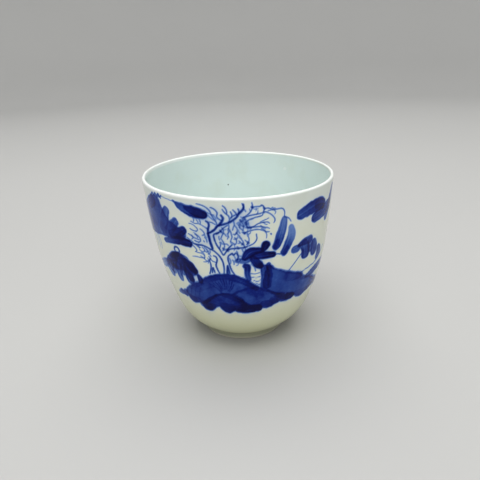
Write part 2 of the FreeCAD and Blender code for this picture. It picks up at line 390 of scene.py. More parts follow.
    def claws(self, middle, reach, spacing, length, heading, bend, tone=0.34, width=0.1):
        """Hooked strokes over an oval round an (angle, height), all leaning much the same way."""
        across, up = np.radians(middle[0]) * WALL_RADIUS, middle[1]
        for row in np.arange(-reach[1], reach[1], spacing[1]):
            for column in np.arange(-reach[0], reach[0], spacing[0]):
                x = column + self.luck.uniform(-0.45, 0.45) * spacing[0]
                y = row + self.luck.uniform(-0.45, 0.45) * spacing[1]
                turn = math.radians(heading) + self.luck.uniform(-0.35, 0.35)
                size = length * self.luck.uniform(0.7, 1.2)
                curve = bend * self.luck.choice([1, 1, 0.4, -0.5])
                depth = tone * self.luck.uniform(0.7, 1.15)
                if (x / reach[0]) ** 2 + (y / reach[1]) ** 2 < 1:
                    self.hook(across + x, up + y, size, turn, curve, width, depth)

    def bleed(self, share, passes):
        """The faint blue that the glaze draws out of the painting as it melts."""
        spread = self.ink.copy()
        for _ in range(passes):
            spread = (spread + np.roll(spread, 1, 1) + np.roll(spread, -1, 1)) / 3
            padded = np.pad(spread, ((1, 1), (0, 0)), "edge")
            spread = (padded[:-2] + padded[1:-1] + padded[2:]) / 3
        self.ink = 1 - (1 - self.ink) * (1 - share * spread)


def paint_hill(wall):
    """The round hill under the old tree, in overlapping washes with darker folds."""
    wall.wash([(-53, 21.6), (-50, 23.2), (-45, 24.3), (-41, 24.8), (-41, 22.2), (-46, 21.7)], 0.42)
    wall.wash([(-42, 24.2), (-38, 26.8), (-33, 28.6), (-27, 30.6), (-21, 33), (-15, 34.4), (-8, 34.9),
               (-2, 34.3), (3, 32.6), (8, 30.2), (14, 28.2), (22, 25.9), (30, 24.4), (36, 23.6), (38, 22.2),
               (36, 20.9), (30, 20.9), (26, 21.1), (22.4, 20.9), (20.6, 20), (17.4, 19.4), (14.6, 19.6),
               (12.9, 20.2), (11.4, 19), (8, 18.4), (2, 18.2), (-2, 18.3), (-4.4, 18.8), (-5.4, 19.5),
               (-6.8, 18.7), (-9, 18.1), (-11.4, 18.1), (-13.6, 18.7), (-14.8, 19.7), (-15.9, 20.9),
               (-17.6, 20.5), (-20, 19.3), (-22.4, 18.4), (-25, 18), (-27.4, 18.1), (-29.2, 18.8),
               (-30.3, 20.2), (-31.6, 20.7), (-34, 20.3), (-36.4, 20), (-38.8, 20.3), (-40.4, 21.4),
               (-41, 22.4)], 0.56, slope=0.1)
    wall.strokes(
        ((0.2, 0.45), (-36, 27, 0.9), (-26, 30.2, 1.1), (-16, 33.2, 1.2), (-7, 33.8, 1.2), (2, 31.8, 1.3),
         (9, 29, 1)),
        (0.12, (-31, 26.4, 1.2), (-24, 28.8, 1.4), (-19, 29.8, 1)),
        (0.26, (-38, 22.4, 1), (-35, 21.6, 1.3), (-32, 22.2, 1.2)),
        (0.34, (-28, 20.6, 1.3), (-25, 19.9, 1.6), (-21, 20.6, 1.1)),
        (0.16, (-1, 28.6, 1.4), (6, 27.6, 1.6), (12, 25.6, 1.4)),
    )
    wall.wash([(-27, 21.8), (-22, 24), (-17, 26), (-11, 26.8), (-6, 26.1), (-1, 24.2), (3, 22), (2, 19.2),
               (-2, 18.5), (-5.4, 19.6), (-9, 18.3), (-13, 18.6), (-16, 20.9), (-21, 19.2), (-26, 18.4)], 0.3)
    wall.strokes(
        ((0.6, 0.5), (-28.5, 21, 0.5), (-24, 22.8, 0.7), (-19, 24.9, 0.5), (-13, 26.5, 0.35), (-7, 26.4, 0.4),
         (-2, 24.9, 0.6), (2, 22.4, 0.6)),
        (0.6, (-25.5, 22, 0.6), (-23.5, 22.9, 0.8)),
        ((0.55, 0.92), (-1, 20, 1.2), (4, 20.1, 1.8), (10.2, 20.2, 1.7)),
        ((0.25, 0.5), (-8, 20.2, 1.1), (-2, 20.4, 1.6), (3, 21, 1.5)),
        ((0.3, 0.6), (-12, 25.9, 0.5), (-7, 25.3, 0.8), (-2.4, 23.9, 1), (1.6, 22.2, 0.8)),
        ((0.3, 0.85), (20, 26, 0.4), (25, 24, 0.8), (30, 22.9, 1.25), (36, 22.3, 1.25)),
        ((0.3, 0.6), (12, 28.7, 0.3), (17, 27.2, 0.4), (22, 25.4, 0.5), (27, 24.5, 0.4)),
        ((0.35, 0.45), (10, 29.2, 0.35), (4, 29, 0.4), (-2, 27.8, 0.4), (-6, 26.6, 0.3)),
        ((0.15, 0.3), (14, 21.3, 1), (18, 21.4, 1.4), (23, 22, 1.1)),
    )
    for number, lean in enumerate(np.linspace(-0.75, 0.5, 10)):
        near, far = 3.2 - 0.9 * abs(lean), (6.8, 8.2, 7.4)[number % 3] - 1.2 * abs(lean)
        marks = [(-10.2 + 1.9 * (reach * math.sin(lean) + 0.25 * bow), 25.4 + reach * math.cos(lean))
                 for reach, bow in ((near, 0), ((near + far) / 2, 1), (far, 0))]
        wall.line(marks, 0.2, (0.42, 0.3, 0.5)[number % 3])
    for turn in (-34, -30.5, -27):
        wall.line([(turn, 28.2), (turn - 2, 26), (turn - 3.5, 23.6)], 0.22, 0.22)
    for turn, level, width in ((-45.5, 22.6, 1.1), (-37.5, 21.6, 1.3), (-26.6, 20, 1.85), (-10.4, 20.2, 2),
                               (16.6, 21.2, 1.5), (22.6, 22.3, 1.5)):
        wall.brush([(turn - 1.5, level + 0.5, width), (turn + 1.5, level + 0.1, width)], 0.3)


def paint_bank(wall):
    """The long bank that falls away to the right, with its far point."""
    wall.wash([(16, 37.4), (21, 35.8), (27, 33.9), (33, 32.6), (39, 31.5), (43, 29.9), (48, 28.5), (53, 27.2),
               (59, 25.4), (66, 23.4), (74, 21.2), (83, 18.9), (92, 18), (90, 16.8), (80, 17.2), (72, 19.2),
               (64, 21.4), (57, 21.4), (51, 20.6), (46, 20), (41, 20.8), (37, 22.6), (30, 24.2), (22, 25.6),
               (15, 28), (13, 30)], 0.54, slope=0.1)
    wall.strokes(
        ((0.1, 0.3), (21, 33.4, 1.2), (28, 31.6, 1.6), (35, 30.4, 1.5), (41, 29.9, 1)),
        (0.3, (17, 36.8, 0.3), (25, 34.6, 0.35), (33, 32.6, 0.4), (41, 30.8, 0.6), (42.5, 29.6, 0.6)),
        ((0.3, 0.55), (42, 28.4, 0.5), (50, 27.6, 0.6), (58, 25.6, 0.7), (68, 22.6, 0.9), (80, 18.8, 0.9)),
        (0.35, (52, 21.6, 0.7), (57, 22.4, 0.8), (62, 23, 0.7)),
        (0.2, (40, 22.6, 1.1), (46, 21.8, 1.3), (51, 22, 1)),
        (0.5, (48, 28.4, 0.9), (55, 29, 1.5), (63, 29.8, 1.7), (72, 30.4, 1)),
    )
    wall.lines(
        (0.16, 0.4, (30.6, 33.8), (34, 35.8), (38, 38.2), (41, 39.8)),
        (0.17, 0.42, (40, 31.1), (48, 31.8), (55, 32.4), (61, 34.2), (66, 37)),
    )


def paint_old_tree(wall):
    """The bare old tree: outlined trunk, forked limbs and clawed twigs."""
    trunk = (
        [(-18.6, 34.6), (-17.6, 36.2), (-17.2, 38), (-17.6, 39.6), (-16.9, 40.4)],
        [(-16.9, 35), (-16.2, 37), (-15.3, 35.2)],
        [(-12.4, 35), (-13.4, 36.4), (-14, 38), (-13.3, 39.4), (-13, 40.4), (-13.6, 41.2), (-14.8, 41.5)],
        [(-9.8, 35), (-9.4, 37), (-9.6, 39), (-10.2, 40.2), (-11.2, 41.4), (-12.6, 42.4), (-14.5, 43.4),
         (-16.5, 43.9), (-18.5, 44.5), (-21, 44.9), (-24.4, 44.9), (-27.4, 45.4)],
        [(-8, 35.1), (-7.2, 38.2), (-6.2, 35.1)],
        [(-3.6, 34.8), (-4.8, 36), (-5.6, 37.4), (-6.2, 39), (-6.6, 40.4), (-6.3, 41.6), (-5.2, 42.2),
         (-4, 42.6), (-3.2, 42.1), (-2, 42.8), (-1, 42.4), (-0.8, 41.2), (-1.6, 40.1)],
        [(-10.6, 49.9), (-12, 49.5), (-13.4, 49), (-13.3, 47.6), (-12.8, 46.4), (-12, 45.2), (-10.8, 44),
         (-10, 43), (-9, 42), (-8, 42.6), (-7, 43.5), (-6.2, 44.2), (-5, 45), (-3.8, 45.7)],
        [(-6.8, 43.6), (-5, 44.2), (-3, 44.4), (-1, 44.5), (1, 44.6), (4.4, 44.9)],
    )
    for marks in trunk:
        wall.line(marks, 0.16, 0.66)
    wall.brush([(-7.3, 37.8, 0.2), (-7.3, 36.4, 0.4), (-7.3, 35.3, 0.5)], 0.5)
    wall.lines(
        (0.36, 0.72, (-14.9, 44.1), (-15.4, 45.4), (-15.9, 46.6), (-16.2, 48), (-16.6, 49.4)),
        (0.26, 0.66, (-16.6, 49.3), (-16.4, 50.4), (-16, 51.2), (-15.5, 52.1), (-15.8, 53), (-17, 53.5)),
        (0.3, 0.68, (-16.6, 49.3), (-14.5, 50), (-12.5, 50.9), (-11, 52), (-10, 52.4), (-8.6, 53.4), (-8, 54),
         (-7.6, 54.8), (-8.4, 55.7)),
        (0.27, 0.64, (-10, 52.3), (-8, 52.6), (-5.5, 53.1), (-3.5, 53.7), (-2, 54.3), (-0.5, 55), (0.5, 56),
         (1.5, 56.6), (2.6, 57.3), (3.4, 58), (3.2, 59.2)),
    )
    branches = (
        [(-21.4, 58.9), (-19, 58.7), (-17, 58.3), (-15.3, 57.6), (-14.2, 56.8), (-13.7, 55.8), (-12.6, 54.6),
         (-11.4, 53.4), (-11, 52.4)],
        [(-13.8, 58.1), (-12.2, 57.7), (-10.9, 57), (-10.4, 56.2), (-10.8, 55.4), (-10.4, 54.7), (-9.2, 54.2),
         (-8.4, 53.9)],
        [(-7.4, 58.8), (-6.4, 58.3), (-5.7, 57.6), (-5.3, 56.8), (-5.5, 56.1)],
        [(-7.6, 57.6), (-7, 57), (-6.2, 56.4), (-5.4, 56), (-4.5, 55.4), (-4.2, 54.6)],
        [(-3.4, 56.8), (-2.8, 55.8), (-3.1, 54.8)], [(-2.2, 57.5), (-1, 56.6), (-0.2, 55.7)],
        [(0.4, 57.8), (0.9, 57.2), (0.8, 56.2)], [(2.6, 59.4), (3.4, 58.6), (3, 57.6)],
        [(-4.6, 53.6), (-3.6, 54.8), (-2.4, 55.4), (-0.4, 56)],
        [(7.6, 59.6), (7.9, 58.6), (7.6, 57.6), (7, 56.8), (5.8, 56), (4, 55.2), (2.8, 54.9)],
        [(3.2, 54.8), (6, 55.4), (9, 55.7), (12, 55.9), (14.2, 56.3), (15.8, 56), (17.4, 55.4), (18.8, 54.6),
         (19.7, 53.8), (19.9, 53), (19.3, 52.4)],
        [(4.4, 53.4), (6, 54.1), (7.8, 54.4), (9, 54.7), (11, 54.9), (12.8, 55.2), (13.4, 55.9),
         (14.1, 57.3)],
        [(7.4, 58.1), (9.5, 58.2), (11.6, 58.2), (13, 58.4), (13.9, 57.8), (14.4, 57.4), (16, 57.4), (18, 57),
         (20, 56.7), (23.8, 56.7), (25.4, 55.6), (25.4, 53.9)],
        [(4.6, 51.7), (6.5, 51.5), (8.4, 51.8), (10, 52.4), (12, 52.8), (15, 52.9), (16.2, 52.7),
         (16.9, 52.3)],
        [(7, 51.6), (9, 51.6), (11.5, 51.6), (13.5, 51.3), (15.6, 51), (16.9, 50.6)],
        [(3.2, 49.7), (4.8, 50.1), (7, 50.5), (10, 50.7), (12.4, 50.4), (14, 50), (15, 49.6), (16.8, 49.5)],
        [(25.6, 53.8), (28.2, 53), (29.7, 51.8)], [(9.6, 49.2), (9.8, 47.4), (8.2, 46), (5.4, 45.2)],
        [(20, 41), (22, 41.1), (24.4, 40.7)],
        [(-11.8, 49.3), (-10.8, 49.6), (-9.3, 50.5), (-7.4, 51.6), (-5.4, 52.4)],
    )
    for marks in branches:
        wall.line(marks, 0.12, 0.52)
    hooks = (
        [(-26, 52.9), (-23.5, 52.3), (-21.6, 52.4), (-19.4, 51.9), (-17, 51.1)],
        [(-22.4, 53.6), (-21.4, 52.8)], [(-24.6, 54.4), (-24, 53.6), (-24.2, 53)],
        [(-20.7, 53.8), (-20.2, 53), (-20.3, 52.3)], [(-15, 53.3), (-13.6, 53.1), (-11.8, 52.5)],
        [(-27.5, 52.1), (-25, 51.8), (-23.6, 51.2), (-22.6, 50.6), (-22.6, 50), (-23.6, 49.6)],
        [(-27.2, 50.3), (-26, 49.9), (-24.6, 49.7), (-23.2, 49.6)],
        [(-21, 50.7), (-19.8, 50.2), (-18.9, 49.5), (-18.6, 48.8), (-20.2, 48.4)],
        [(-28.8, 48.3), (-27, 47.9), (-25.8, 47.4), (-22.4, 46.8)], [(-26.7, 48), (-26, 47.2), (-27, 46.6)],
        [(-24.4, 48.6), (-22.8, 48.2), (-21.7, 47.4), (-21.5, 46.4), (-22.8, 45.8)],
        [(-30, 46.9), (-28.2, 46.2), (-26.6, 45.7)], [(-25.2, 46.3), (-24, 46), (-22.6, 45.8)],
        [(-18.8, 47.9), (-17.9, 47.2), (-17.7, 46.2)], [(-19.6, 46.6), (-19.2, 46.2)],
        [(-21, 44.2), (-20, 43.6), (-19.8, 42.9), (-21.4, 42.6), (-23, 43.2)],
        [(-27.6, 45), (-26.6, 44.2), (-25.4, 43.5), (-24.8, 42.7), (-25.8, 42.2)],
        [(-24.6, 44.8), (-23.6, 44.2), (-22.2, 43.9)], [(-19.9, 43), (-18.8, 42.6), (-17.6, 43)],
        [(-19.6, 44.3), (-18.6, 43.6), (-18.3, 42.7)], [(-18.6, 40.4), (-18.2, 39.4), (-18.8, 38.4)],
        [(-25.8, 42.2), (-24, 42), (-22, 41.9), (-20.8, 41.5), (-20.2, 40.8), (-20.6, 40), (-19.4, 39.3),
         (-18.4, 39.4)],
        [(-28.4, 40.3), (-26, 40.4), (-23.6, 40.3), (-21, 40.1)], [(-23, 40.9), (-22, 40.6), (-20.6, 40.3)],
        [(-21.5, 38.8), (-20, 38.9), (-18.8, 39.2)], [(-17.9, 42), (-16.9, 41.7), (-16.4, 41.1)],
        [(-16.6, 43.6), (-16.6, 42.6), (-17.4, 41.9)],
        [(-17.8, 41.2), (-16.8, 40.2), (-15.9, 39.5), (-13.9, 39.1)],
        [(-9.6, 50.4), (-8.6, 49.9), (-7.4, 49.5), (-6.5, 48.7)],
        [(-8.2, 51.4), (-7.8, 50.6), (-8.1, 49.6), (-8.7, 49), (-9.6, 47.8)],
        [(-4.9, 52.8), (-4.7, 51.8), (-5.3, 51), (-5.2, 50.2), (-5.6, 49.2), (-5.2, 48.4)],
        [(-5.2, 51.4), (-4.6, 50.8), (-3.9, 50), (-3.7, 49.2), (-3.5, 48.4), (-4, 47.6), (-4.5, 46.8)],
        [(-2.1, 53.8), (-1.8, 52.6), (-2.4, 51.8), (-2.9, 50.8)],
        [(-1.7, 52.3), (-0.8, 51.6), (-0.4, 50.8), (-1, 49.9), (-1.9, 49.1)],
        [(-1.1, 49.9), (-0.2, 49.2), (0.6, 48.6), (1.6, 47.5), (2.4, 46.7), (2.2, 46), (1.2, 45.6)],
        [(-2.1, 48.2), (-1.3, 47.6), (-1.2, 46.7), (-1.7, 46), (-2.4, 45.7)],
        [(-4.4, 46.9), (-3.4, 46.4), (-2, 45.9)], [(0.1, 47.1), (0.8, 46.5), (2, 46)],
        [(4.8, 48.8), (5.5, 48), (5.6, 47), (5.1, 46.4), (4.2, 45.7)], [(3.4, 47.3), (4.2, 46.8), (5, 46.4)],
        [(2, 45.9), (3, 45.2), (3.4, 44.4), (3.3, 43.4)], [(-10.4, 46.5), (-10.1, 45.7), (-10.8, 44.2)],
        [(-9.2, 47.5), (-8.4, 46.6), (-7.9, 45.6), (-8.1, 44.8), (-9.2, 43.5)],
        [(-7.6, 46), (-6.4, 45.9), (-5.8, 45.5)], [(0.2, 53.4), (0.9, 52.8), (0.4, 52.2)],
        [(1.2, 54.2), (2.2, 53.2), (2.8, 52.4), (2.8, 51.4), (2.5, 50.6)],
        [(0.9, 51.7), (1.8, 51), (2.6, 50.6)], [(4.2, 53.4), (4.6, 52.6), (4.7, 51.8), (5.2, 51.4)],
        [(-1.6, 43.5), (-1.1, 43), (-1.3, 42.1)], [(1.7, 43.9), (2.3, 43.1)],
        [(2, 50.1), (3.2, 49.6), (4.2, 50)], [(12.2, 58.7), (13.4, 58.3), (14, 57.6)],
        [(8.8, 57.4), (10.8, 57.4)], [(16, 56.5), (18, 56.7), (19.6, 56.5)], [(18.2, 57.5), (20.2, 57)],
        [(19.6, 56.5), (20.3, 55.8), (19.8, 55.2)], [(2.8, 58), (3.8, 57.4), (4.5, 56.8)],
        [(11.8, 53.1), (14, 53.6), (15.6, 53.9), (16.5, 54.2)], [(12, 51.9), (13.2, 51.2), (14.6, 50.7)],
        [(12.4, 51), (14, 50.2), (14.8, 49.4), (15.3, 48.6), (15.2, 47.4)],
        [(13.4, 52.9), (14.6, 52.2), (15.6, 52)],
    )
    for marks in hooks:
        wall.line(marks, 0.09, 0.46)
    # Patches of faint hooks: middle, reach, spacing, length, heading and bend.
    patches = (
        ((-21, 47.6), (4.6, 5.4), (2.9, 2.7), 1.7, -25, -0.4),
        ((-5.5, 48.4), (4.4, 4.6), (2.4, 2.3), 1.6, -85, 0.5),
        ((2.6, 48.4), (3, 3.8), (2.2, 2.2), 1.6, -100, -0.5),
        ((-19.6, 55.2), (4, 2.4), (2.6, 2.3), 2.6, -35, -0.25),
        ((2.2, 53.6), (1.7, 2.2), (1, 1.2), 2, -60, 0.5),
        ((-2.6, 41.4), (2.2, 1.9), (1.5, 1.4), 1.8, -50, -0.6),
        ((10.4, 57.4), (2.8, 0.8), (2.6, 0.9), 1.2, -75, -0.3),
    )
    for patch in patches:
        wall.claws(*patch)
    knots = (
        (14, 57.4, 0.3), (7.8, 58.1, 0.3), (6.4, 51.5, 0.3), (3.3, 54.6, 0.4), (1.7, 53.9, 0.45),
        (4.3, 53, 0.5), (5, 51.6, 0.35), (3.2, 49.8, 0.3), (-0.6, 44.7, 0.35), (-6.5, 43.8, 0.35),
        (-9.3, 50.4, 0.3), (2.1, 46, 0.3), (5.1, 46.4, 0.3), (-8.5, 44.2, 0.3),
    )
    for turn, level, width in knots:
        wall.brush([(turn - 0.3, level + 0.2, width * 0.7), (turn + 0.2, level - 0.2, width)], 0.42,
                   edge=0.3, pool=0)
    wall.line([(17.6, 48.8), (17.9, 48.5)], 0.22, 0.5)
    hazes = (-21, 47.5, 3.4), (-15, 55.5, 3.2), (-5, 49, 4.2), (1.5, 54, 3), (-2, 41.5, 2.2)
    for turn, level, reach in hazes:
        wall.brush([(turn - 2, level - 0.5, reach * 0.8), (turn + 2, level + 0.5, reach)], 0.03,
                   edge=1.6, pool=0)


def paint_pine(wall):
    """The dark pine and its stump, between the tree and the bank."""
    wall.strokes(
        (0.36, (-1.5, 39.9, 0.7), (2.5, 39.8, 0.95), (6, 40.6, 0.8)),
        ((0.55, 0.4), (14.2, 36.6, 1.25), (15, 33.6, 1.6), (14.6, 29.4, 1.5)),
        ((0.5, 0.4), (16.4, 37.6, 0.8), (17.6, 33.5, 0.9), (17.6, 29.2, 0.7)),
        ((0.66, 0.84), (2.8, 40.9, 0.9), (5.6, 42.6, 1.6), (9.2, 43.2, 1.3), (12.5, 43.2, 0.8)),
        ((0.62, 0.84), (7.4, 40.8, 1), (10, 38.6, 1.35), (11.8, 37.6, 1)),
        ((0.68, 0.88), (9, 41.4, 1.2), (14, 41.4, 1.3), (18.7, 41.2, 1.1)),
        (0.92, (13.9, 43.8, 1), (14.9, 45, 1.35)),
        ((0.66, 0.5), (2.8, 38, 0.8), (4.2, 37.4, 0.95), (3.8, 34.8, 0.85), (4.6, 32.6, 0.8)),
    )
    for marks in ([(6.4, 38.6), (8.2, 37.4), (8.8, 35.8)], [(5.8, 35), (8.4, 34.7), (11.2, 35)],
                  [(6.2, 33.6), (9, 33.2), (11.4, 33.5)], [(7.4, 32.3), (9.6, 31.7), (11.6, 32)],
                  [(8.8, 31), (10.8, 30.4), (12.2, 30.8)]):
        wall.line(marks, 0.17, 0.26)


def paint_leaves(wall):
    """The loose leaves and drooping sprays that hang in the air round the tree."""
    wall.strokes(
        ((0.5, 0.6), (-36.4, 58.8, 0.1), (-34, 58, 0.6), (-31, 57.2, 1.3), (-26.5, 56.4, 1.75),
         (-22, 56, 1.95), (-18.4, 55.6, 1.5)),
        ((0.45, 0.72), (-28.6, 57.3, 0.5), (-24.6, 56.5, 1.2), (-21, 55.9, 1.5), (-17.8, 55.5, 1.2)),
        ((0.38, 0.56), (25.4, 53, 1), (24.6, 50.2, 1.45), (22.9, 46.8, 1.45), (21, 44, 1.25)),
        (0.3, (21.8, 45.8, 0.7), (20.6, 43.9, 0.8)),
        ((0.26, 0.52), (29.8, 49.8, 1), (30.6, 47, 1.5), (28.6, 43.9, 1.45), (26.2, 41.2, 1.25)),
        (0.26, (28.2, 43, 0.7), (26.2, 41, 0.8)),
        ((0.6, 0.68), (36.6, 53.3, 1.8), (42, 54.1, 2.2), (48.5, 54.7, 2.3), (53, 54.5, 2.3),
         (56.2, 53.9, 1.9)),
        (0.4, (50, 54.8, 1.6), (55.6, 54.2, 1.7)),
        ((0.58, 0.56), (48.6, 50.5, 1.8), (54, 50.9, 2), (60, 51.6, 2.3), (66, 52.4, 2.3)),
        ((0.4, 0.5), (63, 48.6, 1.5), (66, 52, 1.8), (69, 56, 1.5), (71, 58.4, 0.9)),
        (0.42, (33.6, 41.2, 1.35), (35, 41.3, 1.4)),
        ((0.66, 0.5), (36.6, 42.4, 0.6), (41, 43, 1.3), (45.6, 43, 1.5)),
        ((0.45, 0.6), (41, 42.4, 1.4), (42.8, 40, 2.1), (42.8, 38.2, 1.9)),
        ((0.34, 0.36), (46, 42.4, 1.2), (47, 40.8, 1.6), (47.2, 39.4, 1.3)),
        ((0.5, 0.62), (50.2, 40.8, 1.7), (51.2, 39.2, 2), (51.4, 37.9, 1.8)),
        ((0.55, 0.5), (57, 38, 1.1), (58.7, 36.2, 1.7), (57.6, 34.6, 1.4)),
    )
    wall.line([(36.3, 42.7), (38.2, 41.2), (39.8, 39.8)], 0.22, 0.5)


def paint_left_mass(wall):
    """The heavy foliage on the left, laid in broad lobes, and the spray that hangs below it."""
    wall.wash([(-77, 49.6), (-74, 52.8), (-68, 54.8), (-63, 56.6), (-59, 58), (-54, 58.7), (-50.6, 58.6),
               (-48.2, 57.4), (-46.6, 55), (-43, 52), (-40, 51), (-36, 50), (-33, 48.6), (-32, 46.8),
               (-38, 45.2), (-46, 45), (-54, 44.6), (-62, 43.9), (-70, 43.7), (-75, 45.6)], 0.45)
    wall.strokes(
        ((0.12, 0.25), (-57, 49, 1.8), (-53, 53.6, 2.3), (-50.4, 56.8, 1.8)),
        (0.44, (-60.4, 54.9, 1.9), (-56.2, 56.4, 2.1)),
        ((0.24, 0.42), (-49.5, 47.6, 2), (-46.2, 51.6, 2.1), (-43.2, 54.6, 1.55)),
        ((0.24, 0.46), (-45, 47, 1.9), (-40.4, 49.6, 1.8), (-37, 51.6, 1.35)),
        ((0.3, 0.72), (-42, 46.6, 1.5), (-36.4, 47.8, 1.6), (-31.9, 49.2, 1.25)),
        (0.4, (-36, 46.6, 1), (-32.6, 47.6, 1.2)),
        ((0.5, 0.86), (-49.6, 43.3, 0.8), (-44, 44.1, 1.1), (-37, 45, 1.5), (-29.6, 44.8, 1.3)),
        ((0.25, 0.5), (-43, 46.4, 0.9), (-35, 46.2, 1.3)),
        ((0.1, 0.2), (-70, 52, 1.6), (-66, 47, 2.1)),
        (0.12, (-62, 51, 1.8), (-58, 46.8, 2)),
        ((0.3, 0.5), (-84, 54.6, 0.6), (-79.6, 57.2, 1), (-75.4, 58.6, 0.5)),
        (0.4, (-88, 51.6, 0.8), (-83, 53, 1.2)),
    )
    for turn in (-61, -58.4, -64.6):
        wall.line([(turn, 43.6), (turn + 1.4, 41.2), (turn + 0.4, 38.4)], 0.15, 0.26)
    wall.lines(
        (0.26, 0.6, (-56.5, 58.4), (-54.6, 59.3), (-53, 58.6), (-51.4, 59.5), (-49.8, 58.8), (-48.2, 59.6),
         (-46.8, 58.8), (-45.4, 59.4)),
        (0.22, 0.45, (-50, 58.2), (-47.8, 58.9), (-46, 58.4)),
        (0.14, 0.28, (-45, 59.2), (-41, 58.9), (-36, 58.5)),
    )
    ring = [(-40.2 + 2.1 * math.cos(t), 41 + 1.15 * math.sin(t)) for t in np.linspace(-2.2, 3.9, 8)]
    wall.line(ring, 0.26, 0.6)
    wall.wash([(-43, 39.8), (-38, 40), (-34, 39.4), (-31, 38), (-28.6, 36.5), (-27.2, 34.6), (-28.8, 33),
               (-30.6, 32.2), (-33, 32), (-38, 33.2), (-44, 32.8), (-52, 32.6), (-56, 33.8), (-53.5, 36),
               (-48.5, 38)], 0.4)
    sprays = (
        [(-44, 38.6, 0.9), (-50.5, 35, 1.8), (-53, 32.2, 1.9), (-51.8, 30.2, 1.5)],
        [(-42, 39, 1), (-46.4, 35.4, 1.5), (-48.4, 31.4, 1)],
        [(-40, 39.2, 1), (-42, 35, 1.6), (-42.8, 31.4, 1.5), (-42.6, 29.4, 1)],
        [(-38, 39, 1), (-38, 35, 1.4), (-38.8, 32.2, 0.9)],
        [(-36.6, 38.8, 0.9), (-34.6, 35, 1.7), (-34, 31.6, 1.7), (-34.2, 29.8, 1.4)],
        [(-35, 38, 0.8), (-31.2, 35.8, 1.5), (-29.6, 34.2, 1.3)],
    )
    for number, marks in enumerate(sprays):
        wall.brush(marks, (0.45, 0.3 + 0.04 * number), streaks=0.3)
    wall.strokes(
        ((0.5, 0.8), (-48, 37.6, 0.8), (-44, 38.6, 1.2), (-40.4, 39.3, 0.8)),
        ((0.5, 0.8), (-35, 37.6, 1), (-31.8, 36.4, 1.6), (-29, 34.6, 1.2)),
        ((0.5, 0.75), (-38, 34.4, 0.8), (-34.6, 32.4, 1.5), (-33, 30.8, 1.2)),
        (0.5, (-51, 35, 0.7), (-47.6, 34, 0.9), (-43.6, 33.6, 0.7)),
    )
    veins = (
        [(-52.4, 36), (-47, 35.7), (-43.4, 36.6), (-39.4, 38)], [(-45.6, 38), (-42, 36.4), (-39.4, 33.4)],
        [(-37.2, 38.4), (-39, 35.8), (-41.4, 33.2), (-41.6, 30.6)],
        [(-46.4, 35), (-49.6, 32.4), (-49.8, 30.2)], [(-36.2, 37.4), (-36, 34), (-37.2, 31.2), (-36.8, 30)],
        [(-54.4, 33.4), (-51.4, 31.4), (-49.4, 31)],
    )
    for marks in veins:
        wall.line(marks, 0.26, 0.55)
    wall.brush([(-26.9, 32.8, 0.6), (-26, 31.6, 1), (-26.2, 30.4, 0.8)], 0.66)
    wall.brush([(-54, 34.2, 1.2), (-60, 32.6, 1.6), (-67, 31, 1.3)], (0.42, 0.24), edge=0.5)


